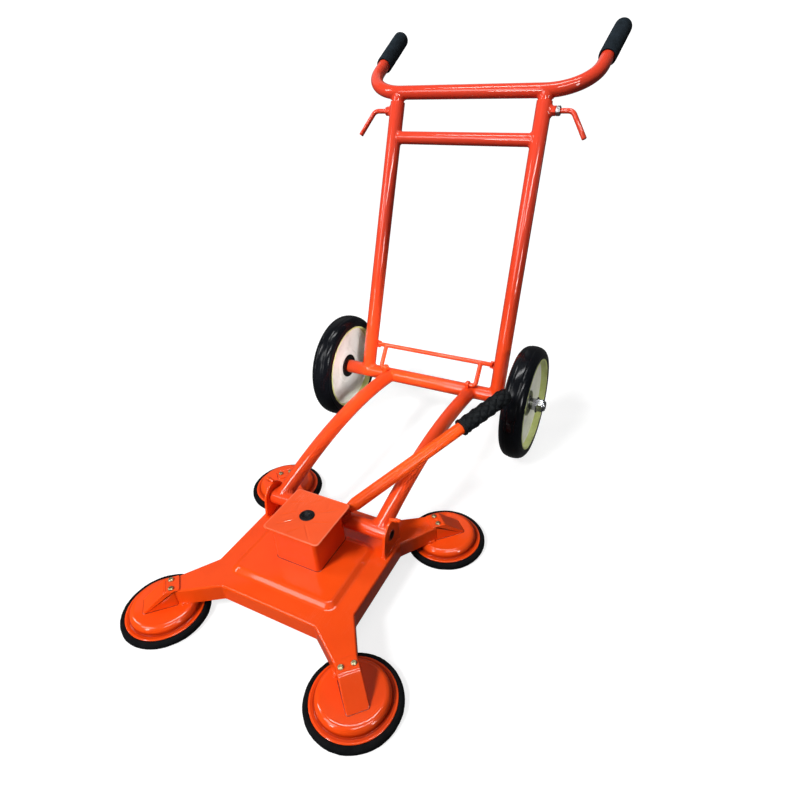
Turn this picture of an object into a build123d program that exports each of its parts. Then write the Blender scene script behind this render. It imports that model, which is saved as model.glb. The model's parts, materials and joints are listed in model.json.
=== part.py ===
from build123d import *
import math
import os

os.makedirs("parts", exist_ok=True)

# ---------------------------------------------------------------------------
# Driving dimensions, millimetres. +X right, +Y back (towards the handles), +Z up.
# In this file y is counted from the wheel axle; every piece is shifted by
# Y_AXLE when it is written, so the origin is under the middle of the object.
# ---------------------------------------------------------------------------
Y_AXLE = 151.88

WHEEL_R = 125.0          # wheel radius, also the height of the axle
WHEEL_X = 229.5          # middle plane of each wheel
TYRE_W = 48.0            # tyre width
RIM_R = 101.0            # tyre seat on the rim
RIM_T = 3.0              # rim band thickness
RIM_W = 46.0             # rim band width
RECESS = 15.0            # disc below the rim lip
AXLE_D = 20.0            # axle rod
AXLE_TUBE_D = 32.0       # cross tube the frame is welded to
AXLE_TUBE_X = 217.0      # half length of the cross tube
RUN = 0.05               # radial clearance of turning and sliding fits

UPRIGHT_X = 164.0        # uprights, half spacing
UPRIGHT_D = 32.0
UPRIGHT_L = 609.0        # from the axle to the open top
LEAN = math.radians(20.46)
STEM_D = 25.6            # telescopic stem
BAR_D = 28.0             # handlebar tube
STEM_IN = 205.0          # stem length inside the upright
CROSS_S = 536.0          # cross bar, distance up the upright
CROSS_D = 26.5
BAR_RISE = 19.7          # handlebar axis above the upright tops
BAR_X = 248.0            # where the two handle ends turn back
BAR_R = 95.0             # bend radius of the handlebar
GRIP_D = 37.0
GRIP_L = 130.77
GRIP_FROM = 119.0        # grip start, from the corner of the bend
CLAMP_DOWN = 18.0        # clamp nut below the upright top
CLAMP_D = 10.0

ARM_X = 103.0            # arms, half spacing
ARM_D = 30.0
ARM_TOP = 133.5          # height of the arm axis in mid span
PIVOT_Y = -446.0         # pivot axis of the suction base
PIVOT_Z = 91.0
PIVOT_D = 28.0           # pivot tube
PIVOT_X = 119.5          # half length of the pivot tube
PIN_D = 20.0             # hollow pivot pin

BAIL_D = 10.0            # rod bail
BAIL_X = {"left": 122.5, "right": 117.0}     # legs
BAIL_LUG = {"left": 109.5, "right": 99.5}    # hinge lugs, middle of each
BAIL_END = 144.5         # half length of the cross rod
BAIL_Y, BAIL_Z = 24.0, 189.0      # cross rod
LUG_Y, LUG_Z = -9.0, 146.0        # hinge of the bail

BASE_Y = -510.0          # middle of the suction base
PLATE_Z = 58.0           # top of the base plate
PLATE_T = 3.0
FLANGE_Z = 27.0          # lower edge of the folded flanges
FRONT_X, FRONT_Y = 90.0, 122.5    # ends of the front and back edges
SIDE_X, SIDE_Y = 134.0, 78.5      # ends of the side edges
ARM_OUT = 99.0           # from the arm root to the cup middle
ARM_TIP_W = 16.5         # half width of the arm at its end
PANEL_Z = 64.0           # raised panel
PANEL_X = 101.5
PANEL_Y0, PANEL_Y1 = -602.0, -455.0

CUP_R = 64.0             # cup flange
CUP_TOP = 27.0
SEAL_R = 72.0
SEAL_IN = 46.0
COVER_FLAP, COVER_BEND, COVER_TOE = -33.0, -8.0, 31.0   # along the arm, from the cup middle

BOX_Y = -504.0           # pump housing and lid
BOX_W = 88.0
BOX_T = 2.5
BOX_TOP = 133.5
LID_X, LID_Y, LID_T = 108.0, 104.0, 3.0
VALVE_X, VALVE_Y = 0.3, -504.5

LEVER_PV = (39.0, -456.0, 116.3)  # lever pin
LEVER_U = (0.5164, 0.8563)        # lever direction in plan
LEVER_RISE = math.radians(16.5)
LEVER_D = 23.5
LEVER_L = 382.0
PUMP_S = 42.0            # pump axis, from the lever pin
PUMP_R = 20.0            # cylinder bore radius


# ---------------------------------------------------------------------------
# helpers
# ---------------------------------------------------------------------------
MIN_Z = (Align.CENTER, Align.CENTER, Align.MIN)


def rod(p, q, r):
    p, q = Vector(*p), Vector(*q)
    d = q - p
    return Plane(origin=p, z_dir=d) * Cylinder(r, d.length, align=MIN_Z)


def tube(p, q, ro, ri):
    p, q = Vector(*p), Vector(*q)
    u = (q - p).normalized()
    return rod(p, q, ro) - rod(p - u, q + u, ri)


def box(x0, x1, y0, y1, z0, z1):
    return Pos((x0 + x1) / 2, (y0 + y1) / 2, (z0 + z1) / 2) * Box(x1 - x0, y1 - y0, z1 - z0)


def swept(path, r):
    return sweep(sections=Plane(origin=path @ 0, z_dir=path % 0) * Circle(r), path=path)


def turned_x(x, points):
    # a ring turned about the wheel axle; points are (offset along x, radius)
    plane = Plane(origin=(x, 0, WHEEL_R), x_dir=(1, 0, 0), z_dir=(0, -1, 0))
    face = plane * make_face(Polyline(*points, close=True))
    return revolve(face, axis=Axis((0, 0, WHEEL_R), (1, 0, 0)))


def turned_z(x, y, face_xz):
    return Pos(x, y, 0) * revolve(Plane.XZ * face_xz, axis=Axis.Z)


def save(node, *shapes):
    solids = []
    for s in shapes:
        solids += list(s.solids())
    moved = [s.moved(Location((0, Y_AXLE, 0))) for s in solids]
    shape = moved[0] if len(moved) == 1 else Compound(moved)
    export_step(shape, f"parts/{node}.step")
    b = shape.bounding_box()
    BOXES.append((b.min, b.max))


BOXES = []
SIDES = (("left", -1), ("right", 1))
AX_Z = WHEEL_R
UP = Vector(0, math.sin(LEAN), math.cos(LEAN))


def on_upright(side, s):
    return Vector(side * UPRIGHT_X, 0, AX_Z) + UP * s


# ---------------------------------------------------------------------------
# frame
# ---------------------------------------------------------------------------
axle_solid = rod((-AXLE_TUBE_X, 0, AX_Z), (AXLE_TUBE_X, 0, AX_Z), AXLE_TUBE_D / 2)
axle_tube = axle_solid - rod((-AXLE_TUBE_X - 1, 0, AX_Z), (AXLE_TUBE_X + 1, 0, AX_Z), AXLE_D / 2)
axle_tube -= rod((-AXLE_TUBE_X + 24, 0, AX_Z), (AXLE_TUBE_X - 24, 0, AX_Z), AXLE_TUBE_D / 2 - 2.6)
save("axle_tube", axle_tube)

pivot_solid = rod((-PIVOT_X, PIVOT_Y, PIVOT_Z), (PIVOT_X, PIVOT_Y, PIVOT_Z), PIVOT_D / 2)
pivot_tube = pivot_solid - rod((-PIVOT_X - 1, PIVOT_Y, PIVOT_Z), (PIVOT_X + 1, PIVOT_Y, PIVOT_Z), PIVOT_D / 2 - 2.0)
save("pivot_tube", pivot_tube)
bushes = []
for _, s in SIDES:
    a, b = sorted((s * (PIVOT_X - 22), s * PIVOT_X))
    bushes.append(tube((a, PIVOT_Y, PIVOT_Z), (b, PIVOT_Y, PIVOT_Z), PIVOT_D / 2 - 2.0, PIN_D / 2 + RUN))
save("pivot_bushes", *bushes)

for name, s in SIDES:
    arc = ThreePointArc((s * ARM_X, 0, 122.0), (s * ARM_X, -225.0, ARM_TOP), (s * ARM_X, PIVOT_Y, PIVOT_Z))
    arm = swept(arc, ARM_D / 2) - swept(arc, ARM_D / 2 - 2.0)
    arm = arm - axle_solid - rod((-PIVOT_X - 9, PIVOT_Y, PIVOT_Z), (PIVOT_X + 9, PIVOT_Y, PIVOT_Z), PIVOT_D / 2)
    save(f"arm_{name}", max(arm.solids(), key=lambda q: q.volume))

uprights = {}
for name, s in SIDES:
    up = rod(on_upright(s, 0), on_upright(s, UPRIGHT_L), UPRIGHT_D / 2)
    up -= rod(on_upright(s, -1), on_upright(s, UPRIGHT_L + 1), STEM_D / 2 + RUN)
    up -= axle_solid
    up = max(up.solids(), key=lambda q: q.volume)
    at = on_upright(s, UPRIGHT_L - CLAMP_DOWN)
    up = Part(up.wrapped) - rod(at, at + Vector(s * 30, 0, 0), CLAMP_D / 2 + 0.5)
    uprights[name] = rod(on_upright(s, 0), on_upright(s, UPRIGHT_L), UPRIGHT_D / 2)
    save(f"upright_{name}", up)

cross = tube(on_upright(-1, CROSS_S), on_upright(1, CROSS_S), CROSS_D / 2, CROSS_D / 2 - 2.0)
cross = cross - uprights["left"] - uprights["right"]
save("cross_bar", max(cross.solids(), key=lambda q: q.volume))

# clamp nuts on the outer side of the uprights
nuts = []
for name, s in SIDES:
    at = on_upright(s, UPRIGHT_L - CLAMP_DOWN)
    hexagon = Plane(origin=at + Vector(s * 8, 0, 0), x_dir=UP, z_dir=(s, 0, 0)) * RegularPolygon(9.8, 6)
    nut = extrude(hexagon, amount=18.5)
    nut -= uprights[name]
    nut -= rod(at, at + Vector(s * 40, 0, 0), CLAMP_D / 2 + RUN)
    nuts.append(max(nut.solids(), key=lambda q: q.volume))
    if name == "right":
        # bare lock nut against the welded one
        hexagon = Plane(origin=at + Vector(s * 26.5, 0, 0), x_dir=UP, z_dir=(s, 0, 0)) * RegularPolygon(9.8, 6)
        nuts.append(extrude(hexagon, amount=8.0) - rod(at, at + Vector(s * 40, 0, 0), CLAMP_D / 2 + RUN))
save("clamp_nuts", *nuts)

# catches for the bail: half tubes, open to the front and up
swing = Vector(0, -(BAIL_Z - LUG_Z), BAIL_Y - LUG_Y).normalized()
catches = []
for name, s in SIDES:
    a, b = sorted((s * 139.0, s * UPRIGHT_X))
    c = tube((a, BAIL_Y, BAIL_Z), (b, BAIL_Y, BAIL_Z), 8.4, 5.6)
    cutter = Plane(origin=(0, BAIL_Y, BAIL_Z), x_dir=(1, 0, 0), z_dir=swing) * Box(800, 40, 30, align=MIN_Z)
    c = c - cutter - uprights[name]
    catches.append(max(c.solids(), key=lambda q: q.volume))
save("bail_catches", *catches)

# hinge lugs of the bail on top of the axle tube
lugs = []
for name, s in SIDES:
    a, b = sorted((s * (BAIL_LUG[name] - 3.5), s * (BAIL_LUG[name] + 3.5)))
    g = rod((a, LUG_Y, LUG_Z), (b, LUG_Y, LUG_Z), 8.5)
    g += box(a, b, LUG_Y - 8.5, LUG_Y + 8.5, AX_Z + 8, LUG_Z)
    g -= axle_solid
    g -= rod((a - 1, LUG_Y, LUG_Z), (b + 1, LUG_Y, LUG_Z), BAIL_D / 2 + RUN)
    arc = ThreePointArc((s * ARM_X, 0, 122.0), (s * ARM_X, -225.0, ARM_TOP), (s * ARM_X, PIVOT_Y, PIVOT_Z))
    g -= swept(arc, ARM_D / 2)
    lugs.append(max(g.solids(), key=lambda q: q.volume))
save("bail_lugs", *lugs)

# axle rod, dome nuts and washers
rh_hub = RIM_W / 2 - RECESS + 3.0      # hub end, from the wheel middle
axle_half = WHEEL_X + 43.0
save("axle_rod", rod((-axle_half, 0, AX_Z), (axle_half, 0, AX_Z), AXLE_D / 2))
dome = []
for name, s in SIDES:
    x0 = WHEEL_X + rh_hub + 0.3
    x1 = WHEEL_X + 25.5
    w = tube((s * x0, 0, AX_Z), (s * x1, 0, AX_Z), 13.0, AXLE_D / 2)
    w += tube((s * x1, 0, AX_Z), (s * (x1 + 2.5), 0, AX_Z), 17.5, AXLE_D / 2)
    nut_plane = Plane(origin=(s * (x1 + 2.5), 0, AX_Z), z_dir=(s, 0, 0))
    hexa = extrude(nut_plane * RegularPolygon(15.5, 6), amount=12.5)
    hexa = hexa & (nut_plane * Cone(21.5, 13.6, 12.5, align=MIN_Z))
    cap = Plane(origin=(s * (x1 + 15.0), 0, AX_Z), z_dir=(s, 0, 0)) * Cylinder(11.6, 5, align=MIN_Z)
    cap = fillet(cap.edges().group_by(Axis.X)[-1 if s > 0 else 0], 4.2)
    hexa = hexa + cap
    hexa -= rod((s * x0, 0, AX_Z), (s * axle_half, 0, AX_Z), AXLE_D / 2)
    dome += [w, hexa]
save("axle_nuts", *dome)

# ---------------------------------------------------------------------------
# handlebar
# ---------------------------------------------------------------------------
H = on_upright(1, UPRIGHT_L + BAR_RISE)
BACK = Vector(0.06, 0.90, 0.43).normalized()


def back(s):
    return Vector(s * BACK.X, BACK.Y, BACK.Z)


turn = math.acos(BACK.X)
tl = BAR_R * math.tan(turn / 2)


def corner(s):
    return Vector(s * BAR_X, H.Y, H.Z)


def bend(s):
    c = corner(s)
    t1, t2 = c - Vector(s * tl, 0, 0), c + back(s) * tl
    b = (Vector(-s, 0, 0) + back(s)).normalized()
    m = c + b * (BAR_R / math.cos(turn / 2) - BAR_R)
    return t1, m, t2


l1, lm, l2 = bend(-1)
r1, rm, r2 = bend(1)
bar_end = GRIP_FROM + GRIP_L - 7.0
e_l, e_r = corner(-1) + back(-1) * bar_end, corner(1) + back(1) * bar_end
bar_path = Curve() + [Line(e_l, l2), ThreePointArc(l2, lm, l1), Line(l1, r1), ThreePointArc(r1, rm, r2), Line(r2, e_r)]
start_plane = Plane(origin=e_l, z_dir=(l2 - e_l))
bar_solid = sweep(sections=start_plane * Circle(BAR_D / 2), path=bar_path)
bar_bore = sweep(sections=start_plane * Circle(BAR_D / 2 - 2.0), path=bar_path)
save("handlebar", bar_solid - bar_bore)

for name, s in SIDES:
    p0 = on_upright(s, UPRIGHT_L - STEM_IN)
    p1 = on_upright(s, UPRIGHT_L + BAR_RISE)
    stem = tube(p0, p1, STEM_D / 2, STEM_D / 2 - 2.0) - bar_solid
    save(f"stem_{name}", max(stem.solids(), key=lambda q: q.volume))

for name, s in SIDES:
    g0 = corner(s) + back(s) * GRIP_FROM
    g1 = corner(s) + back(s) * (GRIP_FROM + GRIP_L)
    pl = Plane(origin=g0, z_dir=back(s))
    gr = GRIP_D / 2
    prof = make_face(Curve() + [
        Polyline((0, GRIP_L), (0, 0), (gr - 1.5, 0)),
        ThreePointArc((gr - 1.5, 0), (gr - 0.44, 0.44), (gr, 1.5)),
        Line((gr, 1.5), (gr, GRIP_L - 12.0)),
        ThreePointArc((gr, GRIP_L - 12.0), (gr - 12.0 * 0.293, GRIP_L - 12.0 * 0.293), (gr - 12.0, GRIP_L)),
        Line((gr - 12.0, GRIP_L), (0, GRIP_L)),
    ])
    grip = revolve(Plane.XZ * prof, axis=Axis.Z)
    grip -= Cylinder(BAR_D / 2, GRIP_L - 7.0, align=MIN_Z)
    save(f"grip_{name}", pl * grip)

# L-shaped clamp screws
for name, s in SIDES:
    at = on_upright(s, UPRIGHT_L - CLAMP_DOWN)
    x_in = STEM_D / 2 + 0.4
    knee = at + Vector(s * (59.0 if name == "right" else 55.0), 0, 0)
    leg = Vector(s * 0.52, 0, 0) - UP * 0.854
    leg = leg.normalized()
    r_b = 16.0
    ang = math.acos(s * leg.X)
    t = r_b * math.tan(ang / 2)
    k1, k2 = knee - Vector(s * t, 0, 0), knee + leg * t
    bis = (Vector(-s, 0, 0) + leg).normalized()
    km = knee + bis * (r_b / math.cos(ang / 2) - r_b)
    tip = knee + leg * 60.0
    path = Curve() + [Line(at + Vector(s * x_in, 0, 0), k1), ThreePointArc(k1, km, k2), Line(k2, tip)]
    save(f"clamp_screw_{name}", sweep(sections=Plane(origin=at + Vector(s * x_in, 0, 0), z_dir=(s, 0, 0)) * Circle(CLAMP_D / 2), path=path))

# rod bail: cross rod with two bent legs
bail = rod((-BAIL_END, BAIL_Y, BAIL_Z), (BAIL_END, BAIL_Y, BAIL_Z), BAIL_D / 2)
for name, s in SIDES:
    a = Vector(s * (BAIL_LUG[name] - 6.5), LUG_Y, LUG_Z)
    k = Vector(s * BAIL_X[name], LUG_Y, LUG_Z)
    top = Vector(s * BAIL_X[name], BAIL_Y, BAIL_Z)
    d2 = (top - k).normalized()
    r_b = 8.0
    k1, k2 = k - Vector(s * r_b, 0, 0), k + d2 * r_b
    km = k + (Vector(-s, 0, 0) + d2).normalized() * (r_b * (math.sqrt(2) - 1))
    path = Curve() + [Line(a, k1), ThreePointArc(k1, km, k2), Line(k2, top)]
    bail += sweep(sections=Plane(origin=a, z_dir=(s, 0, 0)) * Circle(BAIL_D / 2), path=path)
save("rod_bail", bail)

# ---------------------------------------------------------------------------
# wheels
# ---------------------------------------------------------------------------
hw = TYRE_W / 2
rh = RIM_W / 2
for name, s in SIDES:
    x = s * WHEEL_X
    plane = Plane(origin=(x, 0, AX_Z), x_dir=(1, 0, 0), z_dir=(0, -1, 0))
    ri = RIM_R
    edges = [
        Polyline((-rh, ri), (-hw + 0.2, ri + 4.0), (-hw, ri + 6.5)),
        ThreePointArc((-hw, ri + 6.5), (-hw + 5.4, WHEEL_R - 5.2), (-7.0, WHEEL_R)),
        Line((-7.0, WHEEL_R), (7.0, WHEEL_R)),
        ThreePointArc((7.0, WHEEL_R), (hw - 5.4, WHEEL_R - 5.2), (hw, ri + 6.5)),
        Polyline((hw, ri + 6.5), (hw - 0.2, ri + 4.0), (rh, ri)),
        Line((rh, ri), (-rh, ri)),
    ]
    section = make_face(Curve() + edges)
    tyre = revolve(plane * section, axis=Axis((0, 0, AX_Z), (1, 0, 0)))
    save(f"tyre_{name}", tyre)
    rim = turned_x(x, [(-rh, ri - RIM_T), (rh, ri - RIM_T), (rh, ri), (-rh, ri)])
    save(f"rim_{name}", rim)
    d0 = rh - RECESS
    discs = []
    for f in (-1, 1):
        a, b = sorted((f * (d0 - 2.5), f * d0))
        discs.append(turned_x(x, [(a, 27.0), (b, 27.0), (b, ri - RIM_T), (a, ri - RIM_T)]))
    save(f"disc_{name}", *discs)
    # hub barrel with a closed ball bearing in each end
    hub = turned_x(x, [(-d0 - 3, 22.0), (d0 + 3, 22.0), (d0 + 3, 27.0), (-d0 - 3, 27.0)])
    brg = []
    for f in (-1, 1):
        a, b = sorted((f * (d0 - 9), f * (d0 + 2)))
        brg.append(turned_x(x, [(a, AXLE_D / 2 + RUN), (b, AXLE_D / 2 + RUN), (b, 22.0), (a, 22.0)]))
    save(f"hub_{name}", hub)
    save(f"bearings_{name}", *brg)

# ---------------------------------------------------------------------------
# suction base
# ---------------------------------------------------------------------------
DIAG = math.sqrt(0.5)
CORNERS = {"front_left": (-1, -1), "front_right": (1, -1), "rear_right": (1, 1), "rear_left": (-1, 1)}
ROOT = ((FRONT_X + SIDE_X) / 2, (FRONT_Y + SIDE_Y) / 2)
CUP = (ROOT[0] + ARM_OUT * DIAG, ROOT[1] + ARM_OUT * DIAG)


def cup_at(c):
    return c[0] * CUP[0], BASE_Y + c[1] * CUP[1]


def arm_plane(c, z=0.0):
    # local x along the arm outwards, origin at the cup middle
    cx, cy = cup_at(c)
    return Plane(origin=(cx, cy, z), x_dir=(c[0] * DIAG, c[1] * DIAG, 0), z_dir=(0, 0, 1))


def arm_local(c, e, w):
    # point on the plate: e from the cup middle along the arm, w across it towards the side edge
    cx, cy = cup_at(c)
    return cx + c[0] * DIAG * (e + w), cy + c[1] * DIAG * (e - w)


E_END = -25.0            # end of the channel, from the cup middle
order = [("front_left", 1), ("front_right", -1), ("rear_right", 1), ("rear_left", -1)]
pts = []
for key in ("front_right", "rear_right", "rear_left", "front_left"):
    c = CORNERS[key]
    front = (c[0] * FRONT_X, BASE_Y + c[1] * FRONT_Y)
    side = (c[0] * SIDE_X, BASE_Y + c[1] * SIDE_Y)
    tip_f = arm_local(c, E_END, -ARM_TIP_W)
    tip_s = arm_local(c, E_END, ARM_TIP_W)
    run = [front, tip_f, tip_s, side]
    if key in ("rear_right", "front_left"):
        run = run[::-1]
    pts += run
outline = make_face(Polyline(*pts, close=True))
roots = [v for v in outline.vertices() if abs(abs(v.X) - FRONT_X) < 0.1 or abs(abs(v.X) - SIDE_X) < 0.1]
outline = fillet(roots, 7.0)
plate = extrude(Pos(0, 0, FLANGE_Z) * outline, amount=PLATE_Z - FLANGE_Z)
top_edges = [e for e in plate.edges() if abs(e.bounding_box().min.Z - PLATE_Z) < 0.01 and abs(e.bounding_box().max.Z - PLATE_Z) < 0.01]
tip_mid = [arm_local(CORNERS[k], E_END, 0) for k in CORNERS]
top_edges = [e for e in top_edges if min(math.hypot((e @ 0.5).X - m[0], (e @ 0.5).Y - m[1]) for m in tip_mid) > 2.0]
plate = fillet(top_edges, 3.5)
inner = offset(outline, amount=-PLATE_T)
plate -= extrude(Pos(0, 0, FLANGE_Z - 1) * inner, amount=PLATE_Z - PLATE_T - FLANGE_Z + 1)
wi = ARM_TIP_W - PLATE_T
for key, c in CORNERS.items():
    # open the channel end, then the tongue the cover is screwed to
    plate -= arm_plane(c) * box(E_END - 12, E_END + 5, -wi, wi, FLANGE_Z - 1, PLATE_Z - PLATE_T)
    plate += arm_plane(c) * box(E_END - 0.5, -10.5, -13.0, 13.0, PLATE_Z - PLATE_T, PLATE_Z)
# raised panel with sloping sides
px, py = 2 * PANEL_X, PANEL_Y1 - PANEL_Y0
pc = (0, (PANEL_Y0 + PANEL_Y1) / 2)


def panel(grow, z0, z1):
    low = Pos(pc[0], pc[1], z0) * RectangleRounded(px + 2 * grow, py + 2 * grow, 15 + grow)
    high = Pos(pc[0], pc[1], z1) * RectangleRounded(px - 19 + 2 * grow, py - 19 + 2 * grow, 9 + grow)
    return loft([low.faces()[0], high.faces()[0]])


raised = panel(0, PLATE_Z, PANEL_Z)
raised = fillet(raised.edges().group_by(Axis.Z)[-1], 9.0)
plate += raised


def at_panel_foot(e):
    b, m = e.bounding_box(), e @ 0.5
    flat = abs(b.min.Z - PLATE_Z) < 0.02 and abs(b.max.Z - PLATE_Z) < 0.02
    return flat and abs(m.X) < PANEL_X + 1 and PANEL_Y0 - 1 < m.Y < PANEL_Y1 + 1


plate = fillet([e for e in plate.edges() if at_panel_foot(e)], 9.0)
plate -= panel(-1.6, PLATE_Z - PLATE_T - 0.01, PANEL_Z - PLATE_T)
# pump hole and screw holes
pump_xy = (LEVER_PV[0] - PUMP_S * LEVER_U[0], LEVER_PV[1] - PUMP_S * LEVER_U[1])
plate -= Pos(pump_xy[0], pump_xy[1], 50) * Cylinder(23.3, 40)
SCREW_E, SCREW_W = -19.5, 9.6
for key, c in CORNERS.items():
    for w in (-SCREW_W, SCREW_W):
        plate -= arm_plane(c) * (Pos(SCREW_E, w, 0) * Cylinder(2.35, 200))
save("base_plate", max(plate.solids(), key=lambda q: q.volume))

# pivot lugs with a rounded top
LUG_R = 25.5
LUG_CY, LUG_CZ = PIVOT_Y + 3.0, PIVOT_Z + 0.5      # middle of the rounded top


def tangent(px_, pz_, sign):
    dx, dz = LUG_CY - px_, LUG_CZ - pz_
    d = math.hypot(dx, dz)
    a = math.atan2(dz, dx) + sign * math.asin(LUG_R / d)
    t = math.sqrt(d * d - LUG_R * LUG_R)
    return px_ + t * math.cos(a), pz_ + t * math.sin(a)


f0, f1 = (-474.0, PLATE_Z), (-415.0, PLATE_Z)
t0, t1 = tangent(*f0, 1), tangent(*f1, -1)
lug_face = make_face(Curve() + [Line(f0, f1), Line(f1, t1), ThreePointArc(t1, (LUG_CY, LUG_CZ + LUG_R), t0), Line(t0, f0)])
lug_list, stop_list = [], []
for name, s in SIDES:
    x0 = 120.8 if s > 0 else -125.8
    pl = Plane(origin=(x0, 0, 0), x_dir=(0, 1, 0), z_dir=(1, 0, 0))
    lug = extrude(pl * lug_face, amount=5.0)
    lug -= rod((x0 - 1, PIVOT_Y, PIVOT_Z), (x0 + 6, PIVOT_Y, PIVOT_Z), PIN_D / 2)
    lug_list.append(lug)
    stop = rod((s * 121.0, LUG_CY + 3.0, LUG_CZ + LUG_R + 1.6), (s * 140.0, LUG_CY + 6.0, LUG_CZ + LUG_R + 2.6), 3.4)
    stop += rod((s * 131.0, LUG_CY + 4.6, LUG_CZ + LUG_R + 2.1), (s * 134.0, LUG_CY + 5.1, LUG_CZ + LUG_R + 2.3), 4.2)
    stop_list.append(max((stop - lug).solids(), key=lambda q: q.volume))
save("pivot_lugs", *lug_list)
save("stop_pins", *stop_list)
save("pivot_pin", tube((-127.0, PIVOT_Y, PIVOT_Z), (127.0, PIVOT_Y, PIVOT_Z), PIN_D / 2, 6.8))

# cup dish: flange, rounded shoulder, flat top
dish_line = Curve() + [
    Line((3.0, CUP_TOP), (45.5, CUP_TOP)),
    ThreePointArc((45.5, CUP_TOP), (45.5 + 9.5 * DIAG, CUP_TOP - 9.5 * (1 - DIAG)), (55.0, CUP_TOP - 9.5)),
    Line((55.0, CUP_TOP - 9.5), (55.0, 16.0)),
    ThreePointArc((55.0, 16.0), (55.0 + 2.5 * (1 - DIAG), 13.5 + 2.5 * (1 - DIAG)), (57.5, 13.5)),
    Line((57.5, 13.5), (CUP_R - 0.8, 13.5)),
    Line((CUP_R - 0.8, 13.5), (CUP_R, 12.7)),
    Line((CUP_R, 12.7), (CUP_R, 11.0)),
    Line((CUP_R, 11.0), (52.5, 11.0)),
    Line((52.5, 11.0), (52.5, CUP_TOP - 9.5)),
    ThreePointArc((52.5, CUP_TOP - 9.5), (45.5 + 7.0 * DIAG, CUP_TOP - 2.5 - 7.0 * (1 - DIAG)), (45.5, CUP_TOP - 2.5)),
    Line((45.5, CUP_TOP - 2.5), (3.0, CUP_TOP - 2.5)),
    Line((3.0, CUP_TOP - 2.5), (3.0, CUP_TOP)),
]
dish_face = make_face(dish_line)
seal_line = Curve() + [
    Line((SEAL_IN, 0), (SEAL_R - 3.5, 0)),
    ThreePointArc((SEAL_R - 3.5, 0), (SEAL_R - 3.5 * (1 - DIAG), 3.5 * (1 - DIAG)), (SEAL_R, 3.5)),
    Line((SEAL_R, 3.5), (SEAL_R, 9.5)),
    ThreePointArc((SEAL_R, 9.5), (SEAL_R - 3.2 * (1 - DIAG), 12.7 - 3.2 * (1 - DIAG)), (SEAL_R - 3.2, 12.7)),
    Line((SEAL_R - 3.2, 12.7), (CUP_R + 0.3, 12.7)),
    Line((CUP_R + 0.3, 12.7), (CUP_R + 0.3, 11.0)),
    Line((CUP_R + 0.3, 11.0), (SEAL_IN, 11.0)),
    Line((SEAL_IN, 11.0), (SEAL_IN, 0)),
]
seal_face = make_face(seal_line)
covers, screws, elbows, hoses = [], [], [], []
HOSE_Z = 36.0
for key, c in CORNERS.items():
    cx, cy = cup_at(c)
    save(f"cup_{key}", turned_z(cx, cy, dish_face))
    save(f"seal_{key}", turned_z(cx, cy, seal_face))
    pl = arm_plane(c)
    side_plane = Plane(origin=(0, 0, 0), x_dir=(1, 0, 0), z_dir=(0, -1, 0))

    def prism(points, half):
        f = make_face(Polyline(*points, close=True))
        return extrude(side_plane * f, amount=half, both=True)

    top = PLATE_Z + 2.0
    w0 = ARM_TIP_W
    cover = prism([(E_END + 0.7, CUP_TOP), (E_END + 0.7, top), (COVER_BEND, top), (COVER_TOE, CUP_TOP + 0.6), (COVER_TOE, CUP_TOP)], w0)
    cover += box(COVER_FLAP, E_END + 1.0, -w0, w0, PLATE_Z, top)
    cover -= prism([(E_END, CUP_TOP - 1), (E_END, PLATE_Z), (COVER_BEND - 0.9, PLATE_Z), (COVER_TOE - 3.6, CUP_TOP), (COVER_TOE - 3.6, CUP_TOP - 1)], w0 - 2.0)
    for w in (-SCREW_W, SCREW_W):
        cover -= Pos(SCREW_E, w, 0) * Cylinder(2.35, 200)
        head = Pos(SCREW_E, w, top) * Cylinder(4.4, 2.9, align=MIN_Z)
        head = fillet(head.edges().group_by(Axis.Z)[-1], 2.0)
        head += Pos(SCREW_E, w, top - 12) * Cylinder(2.2, 12, align=MIN_Z)
        slot = Pos(SCREW_E, w, top + 2.2) * (Box(4.6, 1.0, 2.0) + Box(1.0, 4.6, 2.0))
        screws.append(pl * (head - slot))
    covers.append(pl * cover)
    # elbow fitting on the dish and hose to the valve block
    elbow = Pos(0, 0, CUP_TOP) * extrude(RegularPolygon(8.5, 6), amount=4.5)
    elbow += Pos(0, 0, CUP_TOP) * Cylinder(6.0, 15.0, align=MIN_Z)
    elbow += Pos(0, 0, CUP_TOP - 6) * Cylinder(2.95, 6, align=MIN_Z)
    elbow += rod((0, 0, HOSE_Z), (-14, 0, HOSE_Z), 2.5)
    elbows.append(pl * elbow)
    p_end = Vector(*arm_local(c, -8.0, 0), HOSE_Z)
    p_mid = Vector(*arm_local(c, -ARM_OUT + 14.0, 0), HOSE_Z)
    to = Vector(p_mid.X - pump_xy[0], p_mid.Y - pump_xy[1], 0).normalized()
    p_start = Vector(pump_xy[0], pump_xy[1], HOSE_Z) + to * 27.0
    out = Vector(c[0] * DIAG, c[1] * DIAG, 0)
    line = Spline(p_start, p_mid, p_end, tangents=(to, out))
    hoses.append(swept(line, 4.2) - swept(line, 2.6))
    hoses[-1] = max(hoses[-1].solids(), key=lambda q: q.volume)
save("cup_covers", *covers)
save("cover_screws", *screws)
save("hose_elbows", *elbows)
save("air_hoses", *hoses)

# ---------------------------------------------------------------------------
# pump
# ---------------------------------------------------------------------------
pvx, pvy, pvz = LEVER_PV
LOCAL = Plane(origin=(pvx, pvy, 0), x_dir=(LEVER_U[0], LEVER_U[1], 0), z_dir=(0, 0, 1))
CH0, CH1 = 8.4, 11.4     # bracket cheeks, distance from the lever plane

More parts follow.
